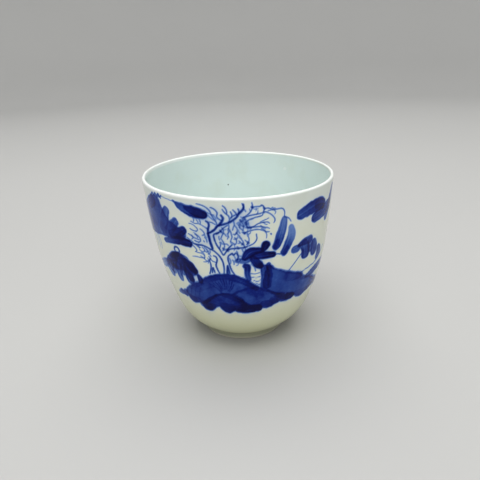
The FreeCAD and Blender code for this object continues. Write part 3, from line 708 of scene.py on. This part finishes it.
def paint_far_side(wall):
    """The quiet side of the landscape: far shores, a moored boat, reeds and birds."""
    wall.wash([(104, 24.6), (112, 26.4), (121, 29.4), (129, 30.8), (137, 29.6), (146, 26.8), (156, 24.8),
               (163, 23.6), (158, 22.2), (148, 21.4), (138, 21.9), (128, 20.9), (118, 21.6), (109, 22.6)],
               0.56, slope=0.15)
    wall.strokes(
        (0.3, (110, 24.2, 0.6), (120, 26.6, 0.8), (130, 27.6, 0.6)),
        ((0.3, 0.7), (140, 24.4, 0.9), (149, 23.6, 1.1), (157, 23.3, 0.8)),
    )
    for turn, level, lean in ((122, 30.4, 1.6), (127, 31, -0.8), (131.5, 30.4, 1.2)):
        wall.line([(turn, level), (turn + lean * 0.4, level + 3.6), (turn + lean, level + 7.4)], 0.26, 0.62)
        wall.twigs([(turn + lean * 0.3, level + 3), (turn + lean, level + 7.8)], 1.3, 2.2, 0.4, 0.5)
        wall.brush([(turn + lean - 3, level + 7, 0.8), (turn + lean, level + 8.6, 1.3),
                    (turn + lean + 3.2, level + 7.4, 0.8)], (0.4, 0.6))
    wall.strokes(
        ((0.55, 0.75), (101, 50.6, 1), (107, 51.6, 1.5), (114, 51.2, 1.2)),
        ((0.5, 0.62), (109, 48, 0.9), (115, 48.4, 1.2), (120, 47.8, 0.8)),
        (0.6, (150, 47.2, 0.2), (154.5, 46, 0.5), (158, 47.6, 0.15)),
        (0.55, (163, 50, 0.2), (166.5, 48.9, 0.45), (170, 50.4, 0.15)),
        (0.5, (157, 52.4, 0.15), (160, 51.5, 0.4), (163, 52.8, 0.12)),
        ((0.6, 0.7), (168, 33.6, 0.3), (173, 32.4, 0.8), (180, 32.3, 0.85), (187, 33.8, 0.25)),
    )
    wall.lines(
        (0.2, 0.55, (178, 33), (178.6, 37.2), (179, 41.8)),
        (0.22, 0.5, (173.5, 33.2), (174.6, 35.4), (178, 36), (181.4, 35.2), (182.6, 33.4)),
    )
    for level, start, end in ((30.6, 166, 176), (29.8, 178, 192), (28.4, 170, 182)):
        wall.line([(start, level), ((start + end) / 2, level - 0.3), (end, level + 0.1)], 0.15, 0.3)
    wall.wash([(196, 23.8), (203, 26.8), (212, 29.2), (220, 28.4), (230, 26.2), (240, 24.6), (249, 23.2),
               (243, 21.6), (232, 20.8), (222, 21.4), (212, 20.2), (203, 21.2)], 0.6, slope=0.1)
    wall.strokes(
        (0.35, (203, 24.4, 0.6), (212, 26.2, 0.7), (221, 25, 0.5)),
        ((0.35, 0.8), (228, 23.2, 1), (236, 22.7, 1.25), (243, 22.6, 0.9)),
    )
    for turn in (206, 210.5, 214, 217.5):
        wall.brush([(turn, 28.4, 0.3), (turn + 1.2, 32.8, 0.6), (turn + 3.4, 37, 0.2)], (0.55, 0.68))
    for turn, level in ((205, 33.4), (213, 36.6), (221, 34.4)):
        wall.brush([(turn, level, 0.2), (turn + 3, level + 1.6, 0.7), (turn + 6.4, level + 1.3, 0.2)], 0.55)
    wall.strokes(
        ((0.55, 0.7), (232, 47.4, 1.1), (238, 48.8, 1.6), (245, 48.6, 1.4)),
        ((0.5, 0.74), (240, 45.2, 0.9), (246, 45.8, 1.4), (253, 45.2, 1.1)),
        ((0.45, 0.6), (226, 51.6, 0.2), (231, 52.8, 0.8), (237, 52.6, 0.5)),
        ((0.3, 0.42), (257, 33.6, 0.6), (262, 34.8, 1.1), (268, 34.2, 0.8)),
        ((0.5, 0.66), (78, 44, 0.8), (83, 45.4, 1.3), (89, 45, 1)),
        ((0.45, 0.6), (82, 41.6, 0.7), (87, 42.2, 1.1), (93, 41.4, 0.8)),
    )
    wall.lines(
        (0.17, 0.34, (76, 33), (84, 32.4), (94, 32.8)),
        (0.15, 0.28, (80, 31.2), (88, 30.8), (97, 31.2)),
    )


def paint_landscape(wall):
    """The whole landscape, from the pale washes to the last dark strokes."""
    paint_hill(wall)
    paint_bank(wall)
    wall.wash([(-27, 52), (-20, 57), (-8, 58.4), (4, 58.4), (9, 52), (5, 46), (1, 42), (-2, 36), (-14, 35),
               (-18, 42), (-26, 46)], 0.025, edge=1.4, pool=0)
    paint_old_tree(wall)
    paint_pine(wall)
    paint_leaves(wall)
    paint_left_mass(wall)
    paint_far_side(wall)
    wall.bleed(0.2, 24)
    wall.bleed(0.05, 4)


# ---------------------------------------------------------------- finishes

IRON_BROWN = (0.12, 0.10, 0.07)
GRIT_BROWN = (0.18, 0.14, 0.11)
SPECK_BLACK = (0.03, 0.03, 0.03)
# Scattered marks: the size of their cells and their radius in mm, the share of cells that have one,
# and a shift that sets one kind apart from another.
PINHOLES = 3.4, 0.14, 0.12, 0.31
IRON_SPECKS = 7.5, 0.22, 0.07, 0.77
BUBBLES = 9.0, 0.35, 0.06, 0.53
GRIT = 0.9, 0.16, 0.25, 0.4
# Two marks in the glaze inside the cup: place and radius in mm.
BLISTER = (18.8, 26.3, 54.7), 0.9
IRON_SPECK = (-5.2, 31.0, 47.2), 0.42
# Heights in mm between which a change of colour sets in: of the glaze itself, and of painted shade and a
# painted highlight.
LOW_WALL = JOINT_HEIGHT, 30.0
UPPER_WALL = CUP_HEIGHT - 15, CUP_HEIGHT - 1
OVER_JOINT = JOINT_HEIGHT, JOINT_HEIGHT + 1.6
UNDER_JOINT = JOINT_HEIGHT - 0.8, JOINT_HEIGHT
OVER_BARE_EDGE = BARE_HEIGHT, BARE_HEIGHT + 0.6
OUTER_LIP = CUP_HEIGHT - 1.1, CUP_HEIGHT - 0.35
INNER_LIP = CUP_HEIGHT - 1.3, CUP_HEIGHT - 0.5
INSIDE_WALL = 4.0, 34.0


class Wire:
    """One output of a shader node, so that shader maths reads as ordinary sums."""

    def __init__(self, finish, socket):
        self.finish, self.socket = finish, socket

    def _maths(self, operation, first, second):
        return self.finish.node("ShaderNodeMath", {"operation": operation}, {0: first, 1: second})

    def __add__(self, other):
        return self._maths("ADD", self, other)

    def __sub__(self, other):
        return self._maths("SUBTRACT", self, other)

    def __rsub__(self, other):
        return self._maths("SUBTRACT", other, self)

    def __mul__(self, other):
        return self._maths("MULTIPLY", self, other)

    __radd__, __rmul__ = __add__, __mul__

    def between(self, low, high):
        """0 below low, 1 above high, and a soft rise between them."""
        settings = {"interpolation_type": "SMOOTHSTEP", "clamp": True}
        return self.finish.node("ShaderNodeMapRange", settings,
                                {"Value": self, "From Min": low, "From Max": high})

    def beside(self, output):
        """Another output of the same node."""
        return Wire(self.finish, self.socket.node.outputs[output])


class Finish:
    """A material made from nodes, with one Principled surface."""

    def __init__(self, name):
        self.material = bpy.data.materials.new(name)
        self.material.use_nodes = True
        self.tree = self.material.node_tree
        self.surface = self.tree.nodes["Principled BSDF"]

    def node(self, kind, settings=None, inputs=None, output=0):
        """Adds a node: its settings come first, then its sockets' values or links."""
        made = self.tree.nodes.new(kind)
        for name, value in (settings or {}).items():
            if name == "stops":
                self.set_stops(made.color_ramp, value)
            else:
                setattr(made, name, value)
        for name, value in (inputs or {}).items():
            self.plug(made.inputs[name], value)
        return Wire(self, made.outputs[output])

    def set_stops(self, ramp, stops):
        """Puts (place, colour) stops on a colour ramp."""
        while len(ramp.elements) < len(stops):
            ramp.elements.new(1.0)
        for element, (place, shade) in zip(ramp.elements, stops):
            element.position, element.color = place, (*shade, 1.0)

    def plug(self, socket, value):
        """Links a wire to a socket, or sets the socket's own value."""
        if isinstance(value, Wire):
            self.tree.links.new(value.socket, socket)
        elif socket.type == "RGBA":
            socket.default_value = (*value, 1.0)
        else:
            socket.default_value = value

    def set(self, **sockets):
        """Sets or links sockets of the surface; an underscore stands for a space."""
        for name, value in sockets.items():
            self.plug(self.surface.inputs[name.replace("_", " ")], value)

    def place(self):
        """Where a point of the surface is, in metres."""
        return self.node("ShaderNodeTexCoord", output="Object")

    def height(self):
        """Height above the foot, in mm."""
        return self.node("ShaderNodeSeparateXYZ", inputs={0: self.place()}, output="Z") * (1 / MM)

    def vector(self, operation, other, output=0):
        """The place, changed or measured by Vector Math."""
        return self.node("ShaderNodeVectorMath", {"operation": operation},
                         {0: self.place(), 1: other}, output)

    def noise(self, size, detail=2.0, roughness=0.5, stretch=None, distortion=0.0):
        """Soft noise from 0 to 1 with features of that size in mm."""
        spread = self.vector("MULTIPLY", stretch) if stretch else self.place()
        return self.node("ShaderNodeTexNoise", {"noise_dimensions": "3D"}, {
            "Vector": spread, "Scale": 1 / (size * MM), "Detail": detail,
            "Roughness": roughness, "Distortion": distortion})

    def specks(self, size, radius, share, shift):
        """Round spots of a radius in about that share of the cells of a size, both in mm."""
        near = self.node("ShaderNodeTexVoronoi", {}, {
            "Vector": self.vector("ADD", (shift, shift, shift)), "Scale": 1 / (size * MM)}, "Distance")
        chance = self.node("ShaderNodeSeparateColor", inputs={0: near.beside("Color")})
        spots = 1 - near.between(0.4 * radius / size, radius / size)
        return spots * (1 - chance.between(share, share + 0.01))

    def spot(self, place, radius):
        """One round mark at a place on the wall, both in mm."""
        away = self.vector("DISTANCE", tuple(part * MM for part in place), "Value")
        return 1 - away.between(0.4 * radius * MM, radius * MM)

    def mix(self, share, first, second):
        """A colour between two colours."""
        # On a Mix node, sockets 0, 6 and 7 take a share and two colours, and output 2 gives the colour.
        return self.node("ShaderNodeMix", {"data_type": "RGBA"}, {0: share, 6: first, 7: second}, 2)

    def layers(self, ground, *coats):
        """Colours laid over a ground in turn, each coat by its own (share, colour)."""
        for share, coat in coats:
            ground = self.mix(share, ground, coat)
        return ground

    def bump(self, relief):
        """Relief of the surface, in mm."""
        self.set(Normal=self.node("ShaderNodeBump", {}, {"Height": relief, "Distance": MM, "Strength": 1.0}))


def glaze_skin(finish, shade, settings, ripple=0.02, bare=1.0):
    """The clear glaze over a colour: soft drifts, pinholes and small dark specks of iron."""
    cloud = finish.noise(9.0, detail=3.0)
    pin = finish.specks(*PINHOLES)
    iron = finish.specks(*IRON_SPECKS)
    drift = tuple(0.88 * part for part in settings.pooled_glaze_and_shade)
    shade = finish.layers(shade, ((cloud - 0.5) * 0.5 * bare, drift), (iron * 0.6, IRON_BROWN))
    finish.set(Base_Color=shade, Roughness=0.07 + 0.05 * cloud + 0.3 * pin, IOR=1.5, Specular_IOR_Level=0.15)
    finish.bump(finish.noise(2.6, detail=1.0) * ripple + finish.noise(14.0) * (ripple * 2.5) - pin * 0.05)


def painted_glaze(settings):
    """Clear glaze over cobalt, over a grey-green white that is whitest at the lip, partly as a painted
    highlight, with painted shade low on the wall, over the joint and under the lip.
    """
    finish = Finish("painted_glaze")
    height = finish.height()
    ground = finish.layers(
        settings.glaze,
        # Darker and yellower low on the wall: thicker glaze there, and painted shade towards the foot.
        ((1 - height.between(*LOW_WALL)) * 0.85, settings.pooled_glaze_and_shade),
        # A cooler, slightly darker band under the lip: cooler glaze, and painted shade.
        (height.between(*UPPER_WALL) * 0.6, settings.upper_glaze_and_shade),
        # Darkest just over the joint: glaze pooled in the crease, and painted shade.
        ((1 - height.between(*OVER_JOINT)) * 0.7, settings.joint_shade_and_pool),
        # Whitest at the lip: thin glaze over the porcelain, and a painted highlight.
        (height.between(*OUTER_LIP) * 0.9, settings.lip_white))

    ink = finish.node("ShaderNodeAttribute", {"attribute_name": "ink"}, output="Fac")
    mottle = finish.noise(0.9, detail=3.0, roughness=0.6)
    streak = finish.noise(2.2, stretch=(1.0, 1.0, 2.6), distortion=0.5)
    depth = ink * (0.86 + 0.16 * mottle + 0.14 * streak) + (mottle - 0.5) * ink * (1 - ink) * 0.25
    cobalt = finish.node("ShaderNodeValToRGB", {"stops": (
        (0.0, settings.haze), (0.24, settings.pale_cobalt), (0.55, settings.cobalt),
        (0.76, settings.deep_cobalt), (0.97, settings.dark_cobalt))}, {"Fac": depth})
    shade = finish.mix(depth.between(0.0, 0.2), ground, cobalt)
    glaze_skin(finish, shade, settings, bare=1 - depth.between(0.0, 0.25))
    return finish.material


def plain_glaze(settings):
    """The paler blue-green glaze inside the cup, with one pale blister and one speck of iron."""
    finish = Finish("inner_glaze")
    height = finish.height()
    ground = finish.layers(
        settings.inner_glaze,
        ((1 - height.between(*INSIDE_WALL)) * 0.6, settings.inner_pool),
        # Whiter at the inner lip: thin glaze, and a painted highlight.
        (height.between(*INNER_LIP) * 0.9, settings.lip_white),
        (finish.specks(*BUBBLES) * 0.35, settings.lip_white),
        (finish.spot(*BLISTER) * 0.5, settings.lip_white),
        (finish.spot(*IRON_SPECK) * 0.85, SPECK_BLACK))
    glaze_skin(finish, ground, settings, ripple=0.016)
    return finish.material


def foot_glaze(settings):
    """Thicker grey-green glaze gathered on the foot, darkened as painted shade, and darkest under the joint
    with pooled glaze and more painted shade.
    """
    finish = Finish("foot_glaze")
    height = finish.height()
    drift = finish.noise(5.0, detail=3.0)
    edge = 1 - height.between(*OVER_BARE_EDGE)
    ground = finish.layers(
        settings.foot_glaze,
        # Darker just under the joint: pooled glaze, and painted shade.
        (height.between(*UNDER_JOINT) * 0.8, settings.joint_shade_and_pool),
        (edge * (0.3 + 0.4 * drift), settings.biscuit))
    glaze_skin(finish, ground, settings)
    return finish.material


def bare_biscuit(settings):
    """The wiped foot edge: dry, matt, faintly orange where it met the fire, with grit."""
    finish = Finish("bare_biscuit")
    drift = finish.noise(6.0, detail=4.0)
    grit = finish.specks(*GRIT)
    burnt = finish.noise(11.0).between(0.5, 0.75)
    ground = finish.layers(settings.biscuit, (burnt * 0.55, settings.burnt_biscuit), (grit * 0.5, GRIT_BROWN))
    finish.set(Base_Color=ground, Roughness=0.62 + 0.25 * drift)
    finish.bump(finish.noise(0.35, detail=3.0) * 0.05 - grit * 0.06)
    return finish.material


def base_porcelain(settings):
    """The porcelain body, thinly glazed where it shows inside the foot."""
    finish = Finish("base_porcelain")
    drift = finish.noise(7.0, detail=3.0)
    ground = finish.mix(drift * 0.5, settings.glaze, settings.inner_pool)
    glaze_skin(finish, ground, settings, ripple=0.03)
    return finish.material


# ---------------------------------------------------------------- settings

def screen(red, green, blue):
    """A linear colour from the three levels, 0 to 255, that a colour picker shows."""
    def linear(level):
        level /= 255
        return level / 12.92 if level <= 0.04045 else ((level + 0.055) / 1.055) ** 2.4
    return linear(red), linear(green), linear(blue)


def colour(name, description, red, green, blue):
    """A colour setting."""
    return FloatVectorProperty(name=name, description=description, subtype="COLOR", size=3,
                               min=0.0, max=1.0, default=screen(red, green, blue))


class TeacupSettings(bpy.types.PropertyGroup):
    """Sizes, colours and view of the teacup."""

    turns: IntProperty(name="Turns", description="Divisions round the painted wall", default=600, min=64)
    rows: IntProperty(name="Rows", description="Divisions up the painted wall", default=147, min=24)
    marks: FloatProperty(name="Throwing marks", description="Depth of the rings left by throwing",
                         subtype="DISTANCE", unit="LENGTH", precision=6,
                         default=0.035 * MM, min=0.0, max=0.3 * MM)
    brush_seed: IntProperty(name="Brush seed", description="Seed of the brush's small accidents", default=7)
    glaze: colour("Glaze", "Glaze over the upper wall", 222, 226, 212)
    # The lower glaze colour is darkened as painted shade near the foot; a copy of it also tints the random
    # drifts.
    pooled_glaze_and_shade: colour("Lower glaze", "Glaze where it is thicker, low on the wall", 200, 201, 161)
    # The joint colour is much darker than pooled glaze alone: it paints the shade in the crease over the
    # foot.
    joint_shade_and_pool: colour("Joint glaze", "Glaze gathered in the joint over the foot", 96, 100, 80)
    # The upper glaze colour is a cooler glaze darkened a little as painted shade under the lip.
    upper_glaze_and_shade: colour("Upper glaze", "The cooler, thinner glaze under the lip", 210, 218, 217)
    # The lip colour is partly a painted highlight; the bubbles and the blister reuse it as a plain pale
    # white.
    lip_white: colour("Lip", "Porcelain showing through thin glaze at the lip", 238, 241, 239)
    inner_glaze: colour("Inner glaze", "Glaze inside the cup", 217, 229, 226)
    inner_pool: colour("Inner floor glaze", "Glaze gathered on the floor of the cup", 211, 223, 220)
    # The foot glaze is darkened to paint the shade that falls on the foot ring.
    foot_glaze: colour("Foot glaze", "Glaze on the foot ring", 156, 158, 138)
    biscuit: colour("Biscuit", "Bare fired porcelain", 182, 180, 164)
    burnt_biscuit: colour("Burnt biscuit", "Bare porcelain flushed by the fire", 176, 160, 134)
    haze: colour("Cobalt haze", "Blue drawn out into the glaze", 200, 214, 232)
    pale_cobalt: colour("Pale cobalt", "Cobalt in a thin wash", 116, 148, 204)
    cobalt: colour("Cobalt", "Cobalt in one full stroke", 46, 80, 158)
    deep_cobalt: colour("Deep cobalt", "Cobalt where strokes cross", 6, 34, 124)
    dark_cobalt: colour("Dark cobalt", "Cobalt pooled at a stroke's end", 0, 2, 72)
    camera_place: FloatVectorProperty(name="Camera place", description="Where the camera stands",
                                      subtype="TRANSLATION", unit="LENGTH", default=(0.0031, -0.170, 0.1035))
    camera_pitch: FloatProperty(name="Camera pitch", description="How far the camera looks down",
                                subtype="ANGLE", unit="ROTATION", default=0.3883)
    camera_yaw: FloatProperty(name="Camera yaw", description="How far the camera turns to the right",
                              subtype="ANGLE", unit="ROTATION", default=-0.0201)
    camera_roll: FloatProperty(name="Camera roll", description="How far the camera tilts",
                               subtype="ANGLE", unit="ROTATION", default=-0.0344)
    camera_lens: FloatProperty(name="Lens", description="Focal length for a 36 mm wide sensor",
                               subtype="DISTANCE_CAMERA", unit="CAMERA", default=36.08)
    floor_colour: colour("Floor", "The pale floor and its curved edge", 190, 190, 188)


# ---------------------------------------------------------------- pieces

OUTER_SEED, INNER_SEED = 3, 11


def divisions(turns):
    """Even divisions round the cup, in radians."""
    return np.linspace(-math.pi, math.pi, turns + 1)[:-1]


def painted_angles(turns):
    """Divisions round the cup, closer together over the finest brushwork at the front."""
    def crowd(angle):
        return 1.0 + 0.6 * (np.abs(angle) < 90) + 0.5 * (np.abs(angle) < 48)
    return np.radians(spaced(-180, 180, turns + 1, crowd)[:-1])


def painted_heights(rows):
    """Levels up the painted wall, closer together in the joint and behind the tree."""
    def crowd(height):
        return 0.6 + 0.9 * (height > 17) + 0.8 * (height > 34) + 1.6 * (height < 4.2)
    return spaced(JOINT_HEIGHT, CUP_HEIGHT - LIP_ROUND - 0.05, rows, crowd)


def inner_heights():
    """Levels up the inside wall, closer together where it turns up from the floor."""
    def crowd(height):
        return 1.0 + 3.0 * (height < 10)
    return spaced(6.3, CUP_HEIGHT - LIP_ROUND - 0.02, 74, crowd)


def wall_points(heights, curves, inset=0.0):
    """Outline points (radius, height) on the wall at those heights."""
    return np.stack([wall_radius(heights, curves, inset), heights], -1)


class TEACUP_OT_outer_glaze(bpy.types.Operator):
    """Builds the painted outer glaze, from the foot joint over the lip"""
    bl_idname = "teacup.outer_glaze"
    bl_label = "Painted Outer Glaze"

    def execute(self, context):
        settings = context.scene.teacup
        angles = painted_angles(settings.turns)
        heights = painted_heights(settings.rows)
        wall = wall_points(heights, OUTER_CURVES)
        hidden = wall_points(np.linspace(SKIN_TOP, JOINT_HEIGHT + 0.1, 6), OUTER_CURVES, SKIN)
        inside = np.array([[RIM_RADIUS - 2 * LIP_ROUND - 0.02, CUP_HEIGHT - LIP_ROUND - 0.5]])
        outline = np.vstack([wall, lip_outline(9), inside, hidden])

        painting = Painting(angles, heights, wall[:, 0], settings.brush_seed)
        paint_landscape(painting)
        ink = np.zeros((len(outline), len(angles)))
        ink[:len(heights)] = painting.ink
        marks = np.zeros_like(ink)
        thrown = throwing_marks(angles[None, :], heights[:, None], OUTER_SEED, settings.marks / MM)
        marks[:len(heights)] = thrown
        marks *= ease(np.abs(outline[:, 1] - CUP_HEIGHT), 0.8, 4.0)[:, None]
        mesh, used = turned_mesh("outer_glaze", outline, angles, marks)
        field = mesh.attributes.new("ink", "FLOAT", "POINT")
        field.data.foreach_set("value", ink.ravel()[used].astype(np.float32))
        add_piece("painted_outer_glaze", mesh, painted_glaze(settings), "outer_glaze")
        return {"FINISHED"}


class TEACUP_OT_inner_glaze(bpy.types.Operator):
    """Builds the plain glaze inside the cup"""
    bl_idname = "teacup.inner_glaze"
    bl_label = "Inner Glaze"

    def execute(self, context):
        settings = context.scene.teacup
        angles = divisions(256)
        _, dish_level, dish_curve, _ = INNER_CURVES[0]
        floor = np.linspace(0.0, 12.5, 12)
        floor = np.stack([floor, dish_level - np.sqrt(dish_curve ** 2 - floor ** 2)], -1)
        wall = wall_points(inner_heights(), INNER_CURVES)
        back = wall_points(np.linspace(SKIN_TOP - 0.2, 6.4, 10), INNER_CURVES, -SKIN)
        under = np.array([[8.0, 5.5], [0.0, 5.2]])
        outline = np.vstack([floor, wall, back, under])
        marks = throwing_marks(angles[None, :], outline[:, 1:], INNER_SEED, settings.marks / MM)
        marks *= (ease(CUP_HEIGHT - outline[:, 1], 0.6, 4.0) * ease(outline[:, 0], 9.0, 15.0))[:, None]
        mesh, _ = turned_mesh("inner_glaze", outline, angles, marks)
        add_piece("inner_glaze_surface", mesh, plain_glaze(settings), "inner_glaze")
        return {"FINISHED"}


class TEACUP_OT_bowl(bpy.types.Operator):
    """Builds the porcelain body, which shows only inside the foot"""
    bl_idname = "teacup.bowl"
    bl_label = "Porcelain Body"

    def execute(self, context):
        settings = context.scene.teacup
        base = np.array([[0.0, 2.72], [4, 2.74], [8, 2.82], [11, 2.92], [12.6, 3.0], [16.0, JOINT_HEIGHT]])
        outside = wall_points(np.linspace(JOINT_HEIGHT + 0.3, SKIN_TOP, 40), OUTER_CURVES, BODY_INSET)
        inside = wall_points(np.linspace(SKIN_TOP, 6.6, 40), INNER_CURVES, -BODY_INSET)
        floor = np.array([[11.0, 5.7], [6, 5.2], [0.0, 5.05]])
        mesh, _ = turned_mesh("bowl", np.vstack([base, outside, inside, floor]), divisions(192))
        add_piece("porcelain_body", mesh, base_porcelain(settings), "bowl")
        return {"FINISHED"}


class TEACUP_OT_foot(bpy.types.Operator):
    """Builds the glazed foot ring and its bare standing edge"""
    bl_idname = "teacup.foot"
    bl_label = "Foot Ring and Edge"

    def execute(self, context):
        settings = context.scene.teacup
        angles = divisions(256)
        ring = smooth_run([(16.1, BARE_HEIGHT), (16.02, 1.6), (16.05, 2.3), (16.35, 2.8), (16.9, 3.16)])
        ring = np.vstack([ring, [[16.3, 3.3], [13.2, 3.2]]])
        ring_inside = smooth_run([(12.5, 2.98), (12.75, 2.7), (12.9, 2.0), (13.0, BARE_HEIGHT)])
        mesh, _ = turned_mesh("foot_ring", np.vstack([ring, ring_inside]), angles)
        add_piece("glazed_foot_ring", mesh, foot_glaze(settings), "foot_ring")

        outer = smooth_run([(15.3, 0.0), (15.62, 0.06), (15.85, 0.28), (15.98, 0.6), (16.08, BARE_HEIGHT)])
        inner = smooth_run([(13.02, BARE_HEIGHT), (13.12, 0.55), (13.32, 0.22), (13.7, 0.0)])
        mesh, _ = turned_mesh("foot_rim", np.vstack([outer, inner]), angles)
        add_piece("bare_foot_edge", mesh, bare_biscuit(settings), "foot_rim")
        return {"FINISHED"}


# ---------------------------------------------------------------- stage

CUP_MIDDLE = (0.0, 0.0, 0.03)
# Each light's place and side in metres, its power in watts and its tint.
LIGHTS = {
    "top_light": ((0.0, 0.14, 0.95), 1.15, 8.0, (1.0, 0.99, 0.97)),
    "front_light": ((-0.02, -0.8, 0.8), 1.7, 11.0, (1.0, 1.0, 1.0)),
}
SKY_TINT, SKY_STRENGTH = (0.95, 0.96, 1.0, 1.0), 0.45
VIEW_GAMMA = 0.9
# The floor's outline, (radius, height) in metres: flat under the cup, then curving up far away.
FLOOR_OUTLINE = (
    (0.0, 0.0), (0.3, 0.0), (0.7, 0.0), (0.95, 0.01), (1.17, 0.09), (1.3, 0.27), (1.34, 0.55), (1.34, 1.1),
)
FLOOR_TURNS = 96


def area_light(name, place, size, power, tint):
    """A square soft light that shines on the middle of the cup."""
    lamp = bpy.data.lights.new(name, "AREA")
    lamp.shape, lamp.size, lamp.energy, lamp.color = "SQUARE", size, power, tint
    stand = bpy.data.objects.new(name, lamp)
    stand.location = place
    stand.rotation_mode = "QUATERNION"
    stand.rotation_quaternion = (Vector(CUP_MIDDLE) - Vector(place)).to_track_quat("-Z", "Y")
    bpy.context.scene.collection.objects.link(stand)


class TEACUP_OT_stage(bpy.types.Operator):
    """Builds the floor, the lights and the camera"""
    bl_idname = "teacup.stage"
    bl_label = "Stage"

    def execute(self, context):
        settings = context.scene.teacup
        self.make_floor(settings)
        for name, light in LIGHTS.items():
            area_light(name, *light)
        world = bpy.data.worlds.new("studio")
        context.scene.world = world
        world.use_nodes = True
        sky = world.node_tree.nodes["Background"].inputs
        sky["Color"].default_value, sky["Strength"].default_value = SKY_TINT, SKY_STRENGTH
        view = context.scene.view_settings
        view.view_transform, view.look, view.gamma = "Standard", "None", VIEW_GAMMA
        self.make_camera(context.scene, settings)
        return {"FINISHED"}

    def make_floor(self, settings):
        """A round pale floor that curves up far from the cup."""
        outline = smooth_run(FLOOR_OUTLINE)[1:]
        angles = [2 * math.pi * turn / FLOOR_TURNS for turn in range(FLOOR_TURNS)]
        points = [(r * math.cos(a), r * math.sin(a), h) for r, h in outline for a in angles]
        points.append((0.0, 0.0, 0.0))
        middle = len(points) - 1
        faces = []
        for turn in range(FLOOR_TURNS):
            after = (turn + 1) % FLOOR_TURNS
            faces.append((middle, turn, after))
            for ring in range(0, middle - FLOOR_TURNS, FLOOR_TURNS):
                beyond = ring + FLOOR_TURNS
                faces.append((ring + turn, beyond + turn, beyond + after, ring + after))
        mesh = bpy.data.meshes.new("floor")
        mesh.from_pydata(points, [], faces)
        mesh.polygons.foreach_set("use_smooth", [True] * len(mesh.polygons))
        finish = Finish("floor")
        cloud = finish.noise(1000 / 3)
        darker = tuple(0.94 * part for part in settings.floor_colour)
        finish.set(Base_Color=finish.mix(cloud, settings.floor_colour, darker), Roughness=0.7)
        mesh.materials.append(finish.material)
        floor = bpy.data.objects.new("floor", mesh)
        bpy.context.scene.collection.objects.link(floor)
        floor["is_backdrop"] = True

    def make_camera(self, scene, settings):
        """A camera that looks down on the painted front, a little tilted."""
        yaw, pitch, roll = settings.camera_yaw, settings.camera_pitch, settings.camera_roll
        ahead = Vector((math.sin(yaw) * math.cos(pitch), math.cos(yaw) * math.cos(pitch), -math.sin(pitch)))
        right = Vector((math.cos(yaw), -math.sin(yaw), 0))
        up = right.cross(ahead)
        tilted_right = math.cos(roll) * right + math.sin(roll) * up
        tilted_up = math.cos(roll) * up - math.sin(roll) * right
        data = bpy.data.cameras.new("camera")
        data.lens, data.sensor_width = settings.camera_lens, 36.0
        data.clip_start, data.clip_end = 0.01, 20.0
        camera = bpy.data.objects.new("camera", data)
        turn = Matrix((tilted_right, tilted_up, -ahead)).transposed()
        camera.matrix_world = Matrix.Translation(settings.camera_place) @ turn.to_4x4()
        scene.collection.objects.link(camera)
        scene.camera = camera


# ---------------------------------------------------------------- panel

class TEACUP_PT_panel(bpy.types.Panel):
    """Lists the cup's pieces in the sidebar"""
    bl_idname = "TEACUP_PT_panel"
    bl_label = "Teacup"
    bl_space_type = "VIEW_3D"
    bl_region_type = "UI"
    bl_category = "Teacup"

    def draw(self, context):
        settings = context.scene.teacup
        for step in STEPS:
            self.layout.operator(step.bl_idname)
        for name in ("glaze", "inner_glaze", "foot_glaze", "cobalt", "dark_cobalt", "marks", "brush_seed"):
            self.layout.prop(settings, name)


STEPS = (
    TEACUP_OT_bowl,
    TEACUP_OT_foot,
    TEACUP_OT_outer_glaze,
    TEACUP_OT_inner_glaze,
    TEACUP_OT_stage,
)
CLASSES = (TeacupSettings, *STEPS, TEACUP_PT_panel)


def register():
    """Adds the settings, the operators and the panel."""
    for item in CLASSES:
        bpy.utils.register_class(item)
    bpy.types.Scene.teacup = PointerProperty(type=TeacupSettings)


def unregister():
    """Takes them away again."""
    del bpy.types.Scene.teacup
    for item in reversed(CLASSES):
        bpy.utils.unregister_class(item)


def main():
    """Builds every piece and the stage."""
    register()
    for step in STEPS:
        area, name = step.bl_idname.split(".")
        getattr(getattr(bpy.ops, area), name)()


if __name__ == "__main__":
    main()
